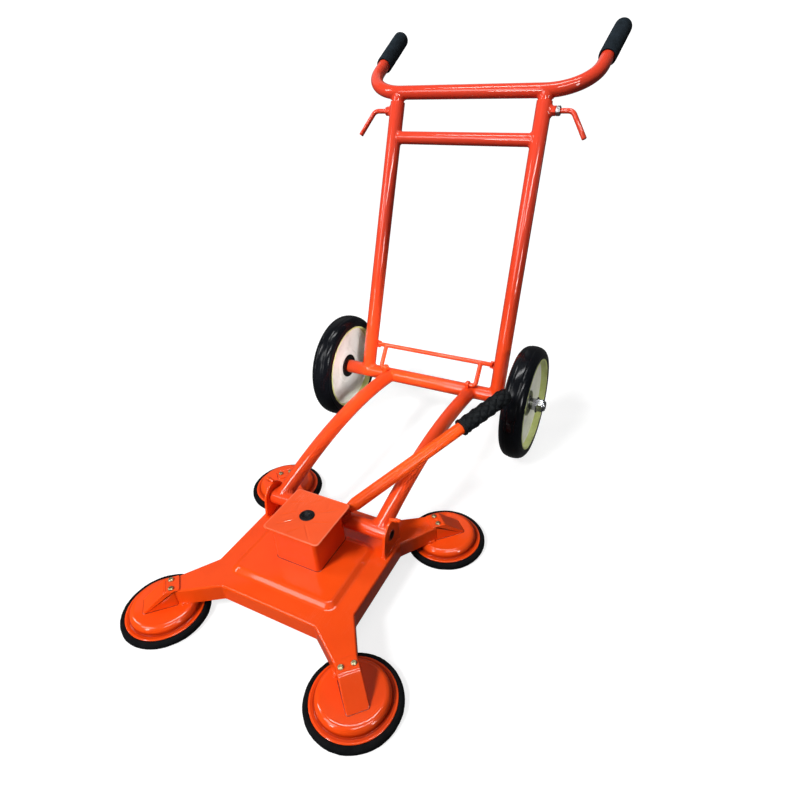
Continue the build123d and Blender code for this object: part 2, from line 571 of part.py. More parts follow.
bx = BOX_W / 2
shell = extrude(Pos(0, BOX_Y, PANEL_Z) * RectangleRounded(BOX_W, BOX_W, 8.0), amount=BOX_TOP - PANEL_Z)
shell -= extrude(Pos(0, BOX_Y, PANEL_Z - 1) * RectangleRounded(BOX_W - 2 * BOX_T, BOX_W - 2 * BOX_T, 5.5), amount=BOX_TOP - PANEL_Z + 2)
shell -= LOCAL * box(-34, 40, -CH1, CH1, 96.0, 140.0)
save("pump_housing", max(shell.solids(), key=lambda q: q.volume))

lid = extrude(Pos(0.5, BOX_Y, BOX_TOP) * RectangleRounded(LID_X, LID_Y, 4.0), amount=LID_T)
lid -= Pos(VALVE_X, VALVE_Y, BOX_TOP) * Cylinder(10.0, 20)
save("pump_lid", lid)

cheeks = box(-24, -17, -CH1, CH1, 91.0, 94.5)
for y0, y1 in ((CH0, CH1), (-CH1, -CH0)):
    cheeks += box(-24, 0, y0, y1, 108.0, 125.5) + box(-24, -17, y0, y1, 91.0, 110.0)
    cheeks += rod((0, y0, pvz), (0, y1, pvz), 9.2)
cheeks = LOCAL * cheeks
cheeks -= LOCAL * rod((0, -20, pvz), (0, 20, pvz), 5.0)
save("lever_bracket", cheeks)
pin = rod((0, -CH1 - 1.5, pvz), (0, CH1 + 1.5, pvz), 5.0)
save("lever_pin", LOCAL * pin)

cyl = Pos(pump_xy[0], pump_xy[1], 42) * Cylinder(23.0, 37.0, align=MIN_Z)
cyl += Pos(pump_xy[0], pump_xy[1], PANEL_Z) * Cylinder(24.0, 3.0, align=MIN_Z)
cyl -= Pos(pump_xy[0], pump_xy[1], 40) * Cylinder(PUMP_R, 60.0, align=MIN_Z)
save("pump_cylinder", cyl)
head = Pos(pump_xy[0], pump_xy[1], 79) * Cylinder(23.0, 3.0, align=MIN_Z)
head -= Pos(pump_xy[0], pump_xy[1], 70) * Cylinder(5.5 + RUN, 30.0, align=MIN_Z)
save("cylinder_head", head)
block = Pos(pump_xy[0], pump_xy[1], 29) * Cylinder(24.0, 13.0, align=MIN_Z)
block -= Pos(pump_xy[0], pump_xy[1], 36) * Cylinder(4.0, 10.0, align=MIN_Z)
for key, c in CORNERS.items():
    p_mid = Vector(*arm_local(c, -ARM_OUT + 14.0, 0), HOSE_Z)
    to = Vector(p_mid.X - pump_xy[0], p_mid.Y - pump_xy[1], 0).normalized()
    o = Vector(pump_xy[0], pump_xy[1], HOSE_Z)
    block += rod(o + to * 20.0, o + to * 32.0, 2.5)
save("valve_block", block)

# piston with rod, flat rod end and cross pin
pz0 = pvz
LP = Plane(origin=(pump_xy[0], pump_xy[1], 0), x_dir=(LEVER_U[0], LEVER_U[1], 0), z_dir=(0, 0, 1))
piston = Pos(0, 0, 64) * Cylinder(PUMP_R - RUN, 10.0, align=MIN_Z)
piston += Pos(0, 0, 70) * Cylinder(5.5, 38.0, align=MIN_Z)
piston += box(-7, 7, -5.2, 5.2, 106.0, 122.0)
piston += rod((0, -10, pz0), (0, 10, pz0), 4.0)
save("piston", LP * piston)

# lever: fork with hub, tube, grip
ca, sa = math.cos(LEVER_RISE), math.sin(LEVER_RISE)
FK0, FK1 = 5.6, 8.0
fork = rod((0, -FK1, pvz), (0, FK1, pvz), 10.0)
for y0, y1 in ((-FK1, -FK0), (FK0, FK1)):
    fork += box(-57, 0, y0, y1, pvz - 8, pvz + 8)
fork += rod((6 * ca, 0, pvz + 6 * sa), (34 * ca, 0, pvz + 34 * sa), 7.5)
fork -= rod((0, -20, pvz), (0, 20, pvz), 5.0 + RUN)
fork -= box(-PUMP_S - 9.6, -PUMP_S + 5.2, -20, 20, pvz - 4.85, pvz + 4.85)
save("lever_fork", LOCAL * fork)


def along(t):
    return t * ca, 0, pvz + t * sa


# tube with a swaged end over the fork's spigot
LR = LEVER_D / 2
lv = make_face(Polyline((7.5, 12.0), (8.5, 12.0), (LR, 25.0), (LR, LEVER_L - 6.5), (LR - 2.0, LEVER_L - 6.5), (LR - 2.0, 40.0), (7.5, 36.0), close=True))
lpl = Plane(origin=along(0.0), x_dir=(0, 1, 0), z_dir=(ca, 0, sa))
save("pump_lever", LOCAL * (lpl * revolve(Plane.XZ * lv, axis=Axis.Z)))
G0 = LEVER_L - 118.0
gl = LEVER_L - G0
gp = make_face(Polyline((0, 0), (16.9, 0), (17.4, 0.6), (17.4, 4.4), (16.8, 5.2), (15.9, 6.2), (15.9, 9.0), (16.0, gl - 12), (15.0, gl - 5), (11.5, gl - 1), (9.0, gl), (0, gl), close=True))
lgrip = revolve(Plane.XZ * gp, axis=Axis.Z)
lgrip -= Cylinder(LEVER_D / 2, gl - 6.5, align=MIN_Z)
gpl = Plane(origin=along(G0), x_dir=(0, 1, 0), z_dir=(ca, 0, sa))
save("lever_grip", LOCAL * (gpl * lgrip))

# release valve in the lid and its button
vz = BOX_TOP + LID_T
valve_face = make_face(Polyline((0, 126.0), (10.0, 126.0), (10.0, vz), (12.4, vz), (12.8, vz + 0.4), (12.8, vz + 0.9), (12.0, vz + 1.7), (9.4, vz + 1.7), (8.75, vz + 1.1), (8.75, 127.5), (0, 127.5), close=True))
save("release_valve", turned_z(VALVE_X, VALVE_Y, valve_face))
button_face = make_face(Polyline((0, 131.2), (8.4, 131.2), (8.4, vz + 0.1), (7.8, vz + 0.6), (6.6, vz + 0.4), (5.4, vz - 0.8), (0, vz - 1.6), close=True))
save("release_button", turned_z(VALVE_X, VALVE_Y, button_face))

lo = [min(b[0].X for b in BOXES), min(b[0].Y for b in BOXES), min(b[0].Z for b in BOXES)]
hi = [max(b[1].X for b in BOXES), max(b[1].Y for b in BOXES), max(b[1].Z for b in BOXES)]
print("box", [round(v, 2) for v in lo], [round(v, 2) for v in hi], "nodes", len(BOXES))
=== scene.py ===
import bpy, bmesh, json, math, random
import numpy as np
from mathutils import Vector, Matrix, noise


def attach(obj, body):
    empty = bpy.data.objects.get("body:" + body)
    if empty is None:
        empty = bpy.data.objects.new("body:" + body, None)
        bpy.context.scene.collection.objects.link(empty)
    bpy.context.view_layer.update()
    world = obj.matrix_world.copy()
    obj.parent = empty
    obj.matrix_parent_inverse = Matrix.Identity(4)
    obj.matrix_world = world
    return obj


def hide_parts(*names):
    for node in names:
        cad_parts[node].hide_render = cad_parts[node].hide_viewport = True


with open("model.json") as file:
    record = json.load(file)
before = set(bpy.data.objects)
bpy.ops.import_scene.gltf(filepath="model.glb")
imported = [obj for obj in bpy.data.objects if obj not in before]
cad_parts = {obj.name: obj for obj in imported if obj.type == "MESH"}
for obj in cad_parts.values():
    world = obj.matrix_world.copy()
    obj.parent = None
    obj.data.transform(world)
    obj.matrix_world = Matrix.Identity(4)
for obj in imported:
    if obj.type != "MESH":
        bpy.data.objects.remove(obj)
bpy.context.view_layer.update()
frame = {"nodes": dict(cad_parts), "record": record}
N = frame["nodes"]
SC = bpy.context.scene

# ---------------------------------------------------------------------------
# lengths of the object, metres, in the CAD frame
# ---------------------------------------------------------------------------
YA = 0.15188
AX_Z = 0.125
LEAN = math.radians(20.46)
UP = Vector((0, math.sin(LEAN), math.cos(LEAN)))
DIAG = math.sqrt(0.5)


def mm(x, y, z):
    # millimetres with y counted from the wheel axle
    return Vector((x / 1000, y / 1000 + YA, z / 1000))


def on_upright(side, s):
    return Vector((side * 0.164, YA, AX_Z)) + UP * (s / 1000)


# ---------------------------------------------------------------------------
# camera and light
# ---------------------------------------------------------------------------
cam_data = bpy.data.cameras.new("camera")
cam = bpy.data.objects.new("camera", cam_data)
SC.collection.objects.link(cam)
SC.camera = cam
cam_data.sensor_width = 36.0
cam_data.lens = 24.9
cam_data.clip_start, cam_data.clip_end = 0.05, 60.0
az, el, roll = math.radians(27.66), math.radians(31.59), math.radians(-2.50)
fwd = Vector((-math.sin(az) * math.cos(el), math.cos(az) * math.cos(el), -math.sin(el)))
right = Vector((math.cos(az), math.sin(az), 0))
upv = right.cross(fwd)
r2 = right * math.cos(roll) + upv * math.sin(roll)
u2 = upv * math.cos(roll) - right * math.sin(roll)
rot = Matrix((r2, u2, -fwd)).transposed()
cam.matrix_world = Matrix.Translation((0.4640, -1.0377 + YA, 0.7772)) @ rot.to_4x4()

SC.view_settings.view_transform = "Standard"
SC.view_settings.look = "None"
SC.view_settings.exposure = -0.09
SC.view_settings.gamma = 1.0

world = bpy.data.worlds.new("studio")
SC.world = world
world.use_nodes = True
bg = world.node_tree.nodes["Background"]
bg.inputs["Color"].default_value = (1.0, 1.0, 1.0, 1)
bg.inputs["Strength"].default_value = 0.08


def aim(o, loc, target):
    o.location = loc
    o.rotation_mode = "QUATERNION"
    o.rotation_quaternion = (Vector(target) - Vector(loc)).to_track_quat("-Z", "Y")
    SC.collection.objects.link(o)
    return o


def sun(name, direction, strength, angle):
    d = bpy.data.lights.new(name, "SUN")
    d.energy = strength
    d.angle = math.radians(angle)
    return aim(bpy.data.objects.new(name, d), Vector(direction) * 4, (0, 0, 0))


def softbox(name, loc, target, size, power):
    d = bpy.data.lights.new(name, "AREA")
    d.shape = "RECTANGLE"
    d.size, d.size_y = size
    d.energy = power
    o = aim(bpy.data.objects.new(name, d), loc, target)
    o.visible_camera = False
    return o


def snoot(name, loc, target, power, width):
    d = bpy.data.lights.new(name, "SPOT")
    d.energy = power
    d.spot_size = math.radians(width)
    d.spot_blend = 0.7
    d.shadow_soft_size = 0.12
    return aim(bpy.data.objects.new(name, d), loc, target)


def only(o, diffuse=True, glossy=True):
    # a light that fills the shade or one that shows as a reflection
    o.visible_diffuse = diffuse
    o.visible_glossy = glossy
    return o


only(sun("key", (-0.30, -0.66, 0.69), 3.7, 14), glossy=False)
only(sun("back", (0.15, 0.95, 0.45), 0.5, 60), glossy=False)
softbox("window", (-2.4, -1.1, 2.0), (0, 0.0, 0.3), (0.5, 1.2), 26)
# panels that are seen only as reflections in the gloss
only(softbox("front_high", (-0.86, -1.74, 1.62), (0.0, -0.44, 0.06), (0.9, 0.9), 18), diffuse=False)
only(softbox("front_low", (-0.63, -2.36, 0.91), (0.18, -0.53, 0.03), (0.40, 0.50), 16), diffuse=False)
only(softbox("front_right", (2.25, -1.00, 0.85), (0.18, -0.53, 0.03), (0.36, 0.6), 18), diffuse=False)
only(softbox("strip_a", (1.16, -1.28, 2.15), (0.18, -0.53, 0.06), (1.6, 0.26), 34), diffuse=False)
only(softbox("strip_b", (-0.16, 0.02, 2.4), (0.18, -0.53, 0.06), (1.6, 0.26), 34), diffuse=False)
only(softbox("ceiling", (-1.9, 2.0, 2.1), (0.0, -0.3, 0.1), (3.6, 1.8), 7), diffuse=False)
only(softbox("overhead", (0.30, -0.20, 3.0), (0.30, -0.20, 0), (1.8, 0.50), 10), glossy=False)
only(snoot("arm_left_fill", (1.0, -1.95, 0.45), (-0.19, -0.49, 0.04), 52, 13), glossy=False)
only(snoot("wheel_left_fill", (0.62, -0.62, 0.62), (-0.235, 0.15, 0.12), 75, 26), glossy=False)
only(snoot("wheel_right_fill", (1.35, -0.25, 0.75), (0.25, 0.15, 0.12), 34, 20), glossy=False)

# ---------------------------------------------------------------------------
# material helpers
# ---------------------------------------------------------------------------


class Mat:
    def __init__(self, name):
        self.m = bpy.data.materials.new(name)
        self.m.use_nodes = True
        self.nt = self.m.node_tree
        self.b = self.nt.nodes["Principled BSDF"]
        self.coord = self.nt.nodes.new("ShaderNodeTexCoord")

    def n(self, kind, **kw):
        node = self.nt.nodes.new(kind)
        for k, v in kw.items():
            setattr(node, k, v)
        return node

    def link(self, a, b):
        self.nt.links.new(a, b)

    def set(self, **kw):
        for k, v in kw.items():
            s = self.b.inputs[k.replace("_", " ")]
            s.default_value = v
        return self

    def mapping(self, scale=(1, 1, 1), rot=(0, 0, 0), loc=(0, 0, 0)):
        mp = self.n("ShaderNodeMapping")
        mp.inputs["Scale"].default_value = scale
        mp.inputs["Rotation"].default_value = rot
        mp.inputs["Location"].default_value = loc
        self.link(self.coord.outputs["Object"], mp.inputs["Vector"])
        return mp.outputs["Vector"]

    def noise(self, scale, detail=3, rough=0.55, vec=None, dist=0.0):
        t = self.n("ShaderNodeTexNoise")
        t.inputs["Scale"].default_value = scale
        t.inputs["Detail"].default_value = detail
        t.inputs["Roughness"].default_value = rough
        t.inputs["Distortion"].default_value = dist
        self.link(vec or self.coord.outputs["Object"], t.inputs["Vector"])
        return t.outputs["Fac"]

    def voronoi(self, scale, feature="F1", vec=None, out="Distance", rand=1.0):
        t = self.n("ShaderNodeTexVoronoi", feature=feature)
        t.inputs["Scale"].default_value = scale
        t.inputs["Randomness"].default_value = rand
        self.link(vec or self.coord.outputs["Object"], t.inputs["Vector"])
        return t.outputs[out]

    def ramp(self, fac, stops, interp="LINEAR"):
        r = self.n("ShaderNodeValToRGB")
        r.color_ramp.interpolation = interp
        els = r.color_ramp.elements
        while len(els) < len(stops):
            els.new(0.5)
        for e, (p, c) in zip(els, stops):
            e.position = p
            e.color = c if len(c) == 4 else (*c, 1)
        self.link(fac, r.inputs["Fac"])
        return r.outputs["Color"]

    def grey(self, fac, lo, hi, a=0.0, b=1.0):
        r = self.n("ShaderNodeMapRange")
        r.inputs["From Min"].default_value = a
        r.inputs["From Max"].default_value = b
        r.inputs["To Min"].default_value = lo
        r.inputs["To Max"].default_value = hi
        self.link(fac, r.inputs["Value"])
        return r.outputs["Result"]

    def math(self, op, a, b=None):
        t = self.n("ShaderNodeMath", operation=op)
        for i, v in enumerate((a, b)):
            if v is None:
                continue
            if isinstance(v, (int, float)):
                t.inputs[i].default_value = v
            else:
                self.link(v, t.inputs[i])
        return t.outputs[0]

    def mix(self, fac, a, b, blend="MIX"):
        t = self.n("ShaderNodeMix", data_type="RGBA", blend_type=blend)
        if isinstance(fac, (int, float)):
            t.inputs["Factor"].default_value = fac
        else:
            self.link(fac, t.inputs["Factor"])
        for key, v in (("A", a), ("B", b)):
            s = [i for i in t.inputs if i.name == key and i.type == "RGBA"][0]
            if isinstance(v, (tuple, list)):
                s.default_value = v if len(v) == 4 else (*v, 1)
            else:
                self.link(v, s)
        return [o for o in t.outputs if o.type == "RGBA"][0]

    def bump(self, height, strength, dist, prev=None):
        t = self.n("ShaderNodeBump")
        t.inputs["Strength"].default_value = strength
        t.inputs["Distance"].default_value = dist
        self.link(height, t.inputs["Height"])
        if prev is not None:
            self.link(prev, t.inputs["Normal"])
        return t.outputs["Normal"]

    def out(self, color=None, rough=None, normal=None, metal=None):
        if color is not None:
            self.link(color, self.b.inputs["Base Color"])
        if rough is not None:
            self.link(rough, self.b.inputs["Roughness"])
        if normal is not None:
            self.link(normal, self.b.inputs["Normal"])
        if metal is not None:
            self.link(metal, self.b.inputs["Metallic"])
        return self.m


def paint(name, base, light, dark, scratch=1.0, sheen_top=None):
    m = Mat(name)
    m.set(Metallic=0.0, Coat_Weight=0.85, Coat_Roughness=0.06, Coat_IOR=1.45, Specular_IOR_Level=0.06)
    cloud = m.noise(7.0, 4, 0.6)
    col = m.ramp(cloud, [(0.30, dark), (0.52, base), (0.75, light)])
    if sheen_top:
        # painted sheen: the coat turns pinker-red towards the top of the frame, standing for the reflection the upper
        # tubes catch
        sep = m.n("ShaderNodeSeparateXYZ")
        m.link(m.coord.outputs["Object"], sep.inputs["Vector"])
        col = m.mix(m.grey(sep.outputs["Z"], 0.0, 1.0, 0.06, 0.50), col, m.ramp(cloud, [(0.30, sheen_top[1]), (0.70, sheen_top[0])]))
    # thin hair scratches in three directions, broken up by a coarse mask
    total = None
    for i, (rot, sc) in enumerate([((0.3, 0.2, 0.4), 60), ((1.1, 0.7, 1.9), 75), ((0.2, 1.4, 2.7), 90)]):
        v = m.mapping((1.0, 0.03, 0.6), rot, (0.37 * i, 0.11, 0.05 * i))
        w = m.noise(sc * 6, 2, 0.5, vec=v)
        line = m.grey(m.math("ABSOLUTE", m.math("SUBTRACT", w, 0.5)), 1.0, 0.0, 0.0, 0.010)
        mask = m.grey(m.noise(5.5 + i, 2, 0.5, vec=m.mapping((1, 1, 1), rot, (i, 2 * i, 0))), 0.0, 1.0, 0.60, 0.68)
        line = m.math("MULTIPLY", line, mask)
        total = line if total is None else m.math("MAXIMUM", total, line)
    hair = m.math("MULTIPLY", total, 0.22 * scratch)
    col = m.mix(hair, col, (0.95, 0.42, 0.30))
    # roughness varies in patches and is higher along the scratches
    rough = m.grey(m.noise(34.0, 5, 0.65), 0.26, 0.40)
    rough = m.math("ADD", rough, m.math("MULTIPLY", total, 0.15 * scratch))
    peel = m.noise(420.0, 2, 0.5)
    wave = m.noise(38.0, 2, 0.4)
    nrm = m.bump(peel, 0.10, 0.0006)
    nrm = m.bump(wave, 0.05, 0.004, nrm)
    return m.out(col, rough, nrm)


ORANGE = paint("orange_powder_coat", (0.84, 0.068, 0.004), (0.87, 0.078, 0.007), (0.78, 0.058, 0.003))
# the tube paint is a darker copy of the plate's orange as painted shade, with a painted sheen towards the top
ORANGE_TUBE_SHADE_SHEEN = paint("orange_powder_coat_tube_painted_shade_sheen", (0.79, 0.062, 0.007), (0.83, 0.072, 0.011), (0.73, 0.052, 0.005), sheen_top=((0.80, 0.062, 0.026), (0.72, 0.048, 0.018)))
# dark red paint used as painted shadow, in gaps and under parts where shade falls
SEAM_SHADOW_PAINT = paint("orange_powder_coat_painted_seam_shadow", (0.26, 0.014, 0.003), (0.34, 0.020, 0.004), (0.18, 0.010, 0.002))
ORANGE_LEVER = paint("orange_powder_coat_lever", (0.70, 0.064, 0.006), (0.74, 0.074, 0.010), (0.63, 0.054, 0.004))
ORANGE_WORN = paint("orange_powder_coat_lid", (0.86, 0.086, 0.014), (0.89, 0.098, 0.020), (0.81, 0.074, 0.010), scratch=2.2)

# darker copies of the orange as painted shade: in the groove at the dome's foot, and on the lever's fork and bracket
GROOVE_SHADE_PAINT = paint("orange_powder_coat_groove_painted_shade", (0.64, 0.044, 0.003), (0.70, 0.052, 0.004), (0.56, 0.036, 0.002))
DEEP_SHADE_PAINT = paint("orange_powder_coat_deep_painted_shade", (0.40, 0.024, 0.002), (0.48, 0.030, 0.003), (0.32, 0.018, 0.002))
for m, gloss in ((GROOVE_SHADE_PAINT, 0.12), (DEEP_SHADE_PAINT, 0.12), (ORANGE_LEVER, 0.22)):
    # the gloss is low on the painted groove shade and, dulled by handling, on the lever
    for nd in m.node_tree.nodes:
        if nd.type == "BSDF_PRINCIPLED":
            nd.inputs["Coat Weight"].default_value = gloss
            nd.inputs["Specular IOR Level"].default_value = 0.03
# lighter orange for the lid's edge: rubbed paint and a painted highlight
RUBBED_EDGE_HIGHLIGHT = paint("orange_powder_coat_rubbed_and_painted_highlight", (0.90, 0.150, 0.060), (0.93, 0.210, 0.110), (0.86, 0.110, 0.032), scratch=2.0)


def tyre_mat(name, spec, r0, r1, lift):
    m = Mat(name)
    m.set(Specular_IOR_Level=spec)
    dust = m.noise(16.0, 5, 0.65)
    col = m.ramp(dust, [(0.35, (0.0026, 0.0030, 0.0042)), (0.62, (0.0042 * lift, 0.0048 * lift, 0.0064 * lift)), (0.80, (0.009 * lift, 0.0100 * lift, 0.012 * lift))])
    rough = m.grey(m.noise(24.0, 4, 0.6), r0, r1)
    nrm = m.bump(m.noise(330.0, 3, 0.6), 0.07, 0.0006)
    nrm = m.bump(m.noise(30.0, 2, 0.5), 0.05, 0.004, nrm)
    return m.out(col, rough, nrm)


def disc_mat():
    m = Mat("disc_cream_paint")
    m.set(Coat_Weight=0.3, Coat_Roughness=0.15)
    n1 = m.noise(22.0, 5, 0.65)
    col = m.ramp(n1, [(0.30, (0.60, 0.585, 0.54)), (0.46, (0.78, 0.77, 0.73)), (0.70, (0.86, 0.855, 0.82))])
    smear = m.grey(m.noise(9.0, 3, 0.6, dist=0.8), 0.0, 0.45, 0.58, 0.80)
    col = m.mix(smear, col, (0.52, 0.54, 0.36))
    rough = m.grey(m.noise(40.0, 4, 0.6), 0.28, 0.50)
    nrm = m.bump(m.noise(260.0, 2, 0.5), 0.10, 0.0006)
    return m.out(col, rough, nrm)


def rim_mat():
    m = Mat("rim_yellow_green_paint")
    m.set(Coat_Weight=0.4, Coat_Roughness=0.12)
    col = m.ramp(m.noise(26.0, 4, 0.6), [(0.30, (0.56, 0.62, 0.18)), (0.55, (0.68, 0.74, 0.27)), (0.8, (0.74, 0.79, 0.36))])
    rough = m.grey(m.noise(50.0, 4, 0.6), 0.26, 0.42)
    nrm = m.bump(m.noise(300.0, 2, 0.5), 0.10, 0.0006)
    return m.out(col, rough, nrm)


def metal_mat(name, c0, c1, rough_lo, rough_hi, brushed=0.0, axis=0):
    m = Mat(name)
    m.set(Metallic=1.0)
    col = m.ramp(m.noise(60.0, 4, 0.6), [(0.35, c0), (0.70, c1)])
    rough = m.grey(m.noise(90.0, 4, 0.6), rough_lo, rough_hi)
    nrm = m.bump(m.noise(500.0, 2, 0.5), 0.06, 0.0005)
    if brushed:
        sc = [1.0, 1.0, 1.0]
        sc[axis] = 60.0
        nrm = m.bump(m.noise(60.0, 3, 0.6, vec=m.mapping(tuple(sc))), brushed, 0.0004, nrm)
    return m.out(col, rough, nrm)


def foam_mat(name, base, hi, pore, rough=(0.78, 0.95), fleck=0.0):
    m = Mat(name)
    m.set(Specular_IOR_Level=0.08)
    cell = m.voronoi(pore)
    col = m.ramp(m.noise(70.0, 4, 0.6), [(0.35, base), (0.75, hi)])
    col = m.mix(m.grey(cell, 0.55, 0.0, 0.0, 0.5), col, (0.004, 0.004, 0.005))
    if fleck:
        f = m.grey(m.voronoi(190.0), 1.0, 0.0, 0.035, 0.06)
        f = m.math("MULTIPLY", f, m.grey(m.noise(37.0, 2, 0.5), 0.0, 1.0, 0.66, 0.70))
        col = m.mix(m.math("MULTIPLY", f, fleck), col, (0.42, 0.42, 0.36))
    r = m.grey(m.noise(120.0, 3, 0.6), *rough)
    nrm = m.bump(cell, 0.55, 0.0012)
    nrm = m.bump(m.noise(pore * 0.35, 4, 0.65), 0.35, 0.0015, nrm)
    return m.out(col, r, nrm)


def plastic_mat(name, base, hi, r0, r1, grain=700.0, spec=0.35):
    m = Mat(name)
    m.set(Specular_IOR_Level=spec)
    col = m.ramp(m.noise(55.0, 4, 0.6), [(0.35, base), (0.75, hi)])
    r = m.grey(m.noise(80.0, 4, 0.6), r0, r1)
    nrm = m.bump(m.voronoi(grain), 0.16, 0.0004)
    return m.out(col, r, nrm)


TYRE = tyre_mat("tyre_tread_polished", 0.16, 0.12, 0.20, 1.0)
TYRE_WALL = tyre_mat("tyre_wall_rubber", 0.12, 0.30, 0.45, 1.25)
DISC = disc_mat()
RIM = rim_mat()
CHROME = metal_mat("chrome_plate", (0.33, 0.34, 0.36), (0.46, 0.47, 0.49), 0.20, 0.30)
STEEL = metal_mat("turned_steel", (0.40, 0.40, 0.41), (0.56, 0.56, 0.57), 0.24, 0.40, 0.20, 2)
DARK = metal_mat("oiled_dark_steel", (0.018, 0.018, 0.020), (0.045, 0.045, 0.048), 0.30, 0.48)
ZINC = metal_mat("olive_zinc", (0.30, 0.31, 0.22), (0.47, 0.48, 0.38), 0.28, 0.45)
BRASS = metal_mat("yellow_plate", (0.34, 0.31, 0.17), (0.50, 0.46, 0.28), 0.28, 0.44)
BRONZE = metal_mat("sintered_bronze", (0.36, 0.24, 0.10), (0.50, 0.34, 0.16), 0.35, 0.5)
ALU = metal_mat("cast_aluminium", (0.48, 0.49, 0.50), (0.62, 0.63, 0.64), 0.34, 0.5)
FOAM = foam_mat("handle_foam", (0.0085, 0.0140, 0.0190), (0.018, 0.028, 0.038), 900.0)
SPONGE = foam_mat("seal_sponge", (0.0024, 0.0027, 0.0034), (0.0060, 0.0065, 0.0076), 620.0, fleck=0.8)
GRIP = plastic_mat("lever_grip_rubber", (0.0026, 0.0034, 0.0040), (0.0050, 0.0062, 0.0072), 0.42, 0.58, 600.0, spec=0.08)
PLASTIC = plastic_mat("black_plastic", (0.0030, 0.0030, 0.0042), (0.0065, 0.0065, 0.0080), 0.34, 0.48, spec=0.20)
HOSE = plastic_mat("hose_rubber", (0.008, 0.008, 0.009), (0.018, 0.018, 0.019), 0.38, 0.55, 500.0)

BY_SLOT = {"orange_paint": ORANGE, "tyre": TYRE, "rim_paint": RIM, "disc_paint": DISC, "dark_steel": DARK, "foam": FOAM,
           "sponge": SPONGE, "steel": STEEL, "chrome": CHROME, "bronze": BRONZE, "aluminium": ALU,
           "black_plastic": PLASTIC, "brass_screw": BRASS, "hose": HOSE, "grip_rubber": GRIP}
SLOT = {s["node"]: s["material_slot"] for s in frame["record"]["subparts"]}
TUBES = {"axle_tube", "arm_left", "arm_right", "upright_left", "upright_right", "cross_bar", "clamp_nuts", "bail_catches", "bail_lugs", "handlebar",
         "stem_left", "stem_right", "clamp_screw_left", "clamp_screw_right", "rod_bail", "pivot_tube"}
# painted shade: the lever's fork, bracket and pin take dark red paint and the pivot pin dark steel, standing for the
# shade under the lid and in the lug's hole; the lever has its own duller orange
FINISH_AND_SHADE = {"pump_lever": ORANGE_LEVER, "lever_fork": DEEP_SHADE_PAINT, "lever_bracket": DEEP_SHADE_PAINT, "lever_pin": SEAM_SHADOW_PAINT, "pivot_pin": DARK}
for name, ob in N.items():
    ob.data.materials.clear()
    ob.data.materials.append(ORANGE_TUBE_SHADE_SHEEN if name in TUBES else FINISH_AND_SHADE.get(name) or BY_SLOT[SLOT[name]])

# ---------------------------------------------------------------------------
# mesh helpers
# ---------------------------------------------------------------------------
BODY = {n: b for b, ns in frame["record"]["behaviour"]["bodies"].items() for n in ns}
SIDES = (("left", -1), ("right", 1))


def rounded(pts, n=5, closed=True):
    # polygon of (x, y, corner radius) with its corners turned into arcs
    out, m = [], len(pts)
    for i, (x, y, rad) in enumerate(pts):
        p = Vector((x, y))
        if rad <= 0 or (not closed and i in (0, m - 1)):
            out.append((x, y))
            continue
        a, b = Vector(pts[i - 1][:2]) - p, Vector(pts[(i + 1) % m][:2]) - p
        ang = a.angle(b)
        t = min(rad / math.tan(ang / 2), a.length * 0.49, b.length * 0.49)
        r = t * math.tan(ang / 2)
        da, db = a.normalized(), b.normalized()
        c = p + (da + db).normalized() * (r / math.sin(ang / 2))
        s, e = p + da * t - c, p + db * t - c
        w = math.pi - ang
        for k in range(n + 1):
            f = k / n
            v = (s * math.sin((1 - f) * w) + e * math.sin(f * w)) / math.sin(w)
            out.append((c.x + v.x, c.y + v.y))
    return out


def resample(pts, step, closed=False):
    # extra points so that no span is longer than step
    out = []
    m = len(pts)
    for i in range(m if closed else m - 1):
        a, b = pts[i], pts[(i + 1) % m]
        k = max(1, int(math.ceil(math.dist(a, b) / step)))
        out += [tuple(x + (y - x) * j / k for x, y in zip(a, b)) for j in range(k)]
    if not closed:
        out.append(tuple(pts[-1]))
    return out


def basis(axis, up=None):
    a = Vector(axis).normalized()
    t = Vector(up) if up else (Vector((1, 0, 0)) if abs(a.x) < 0.9 else Vector((0, 1, 0)))
    u = (t - a * t.dot(a)).normalized()
    return u, a.cross(u), a


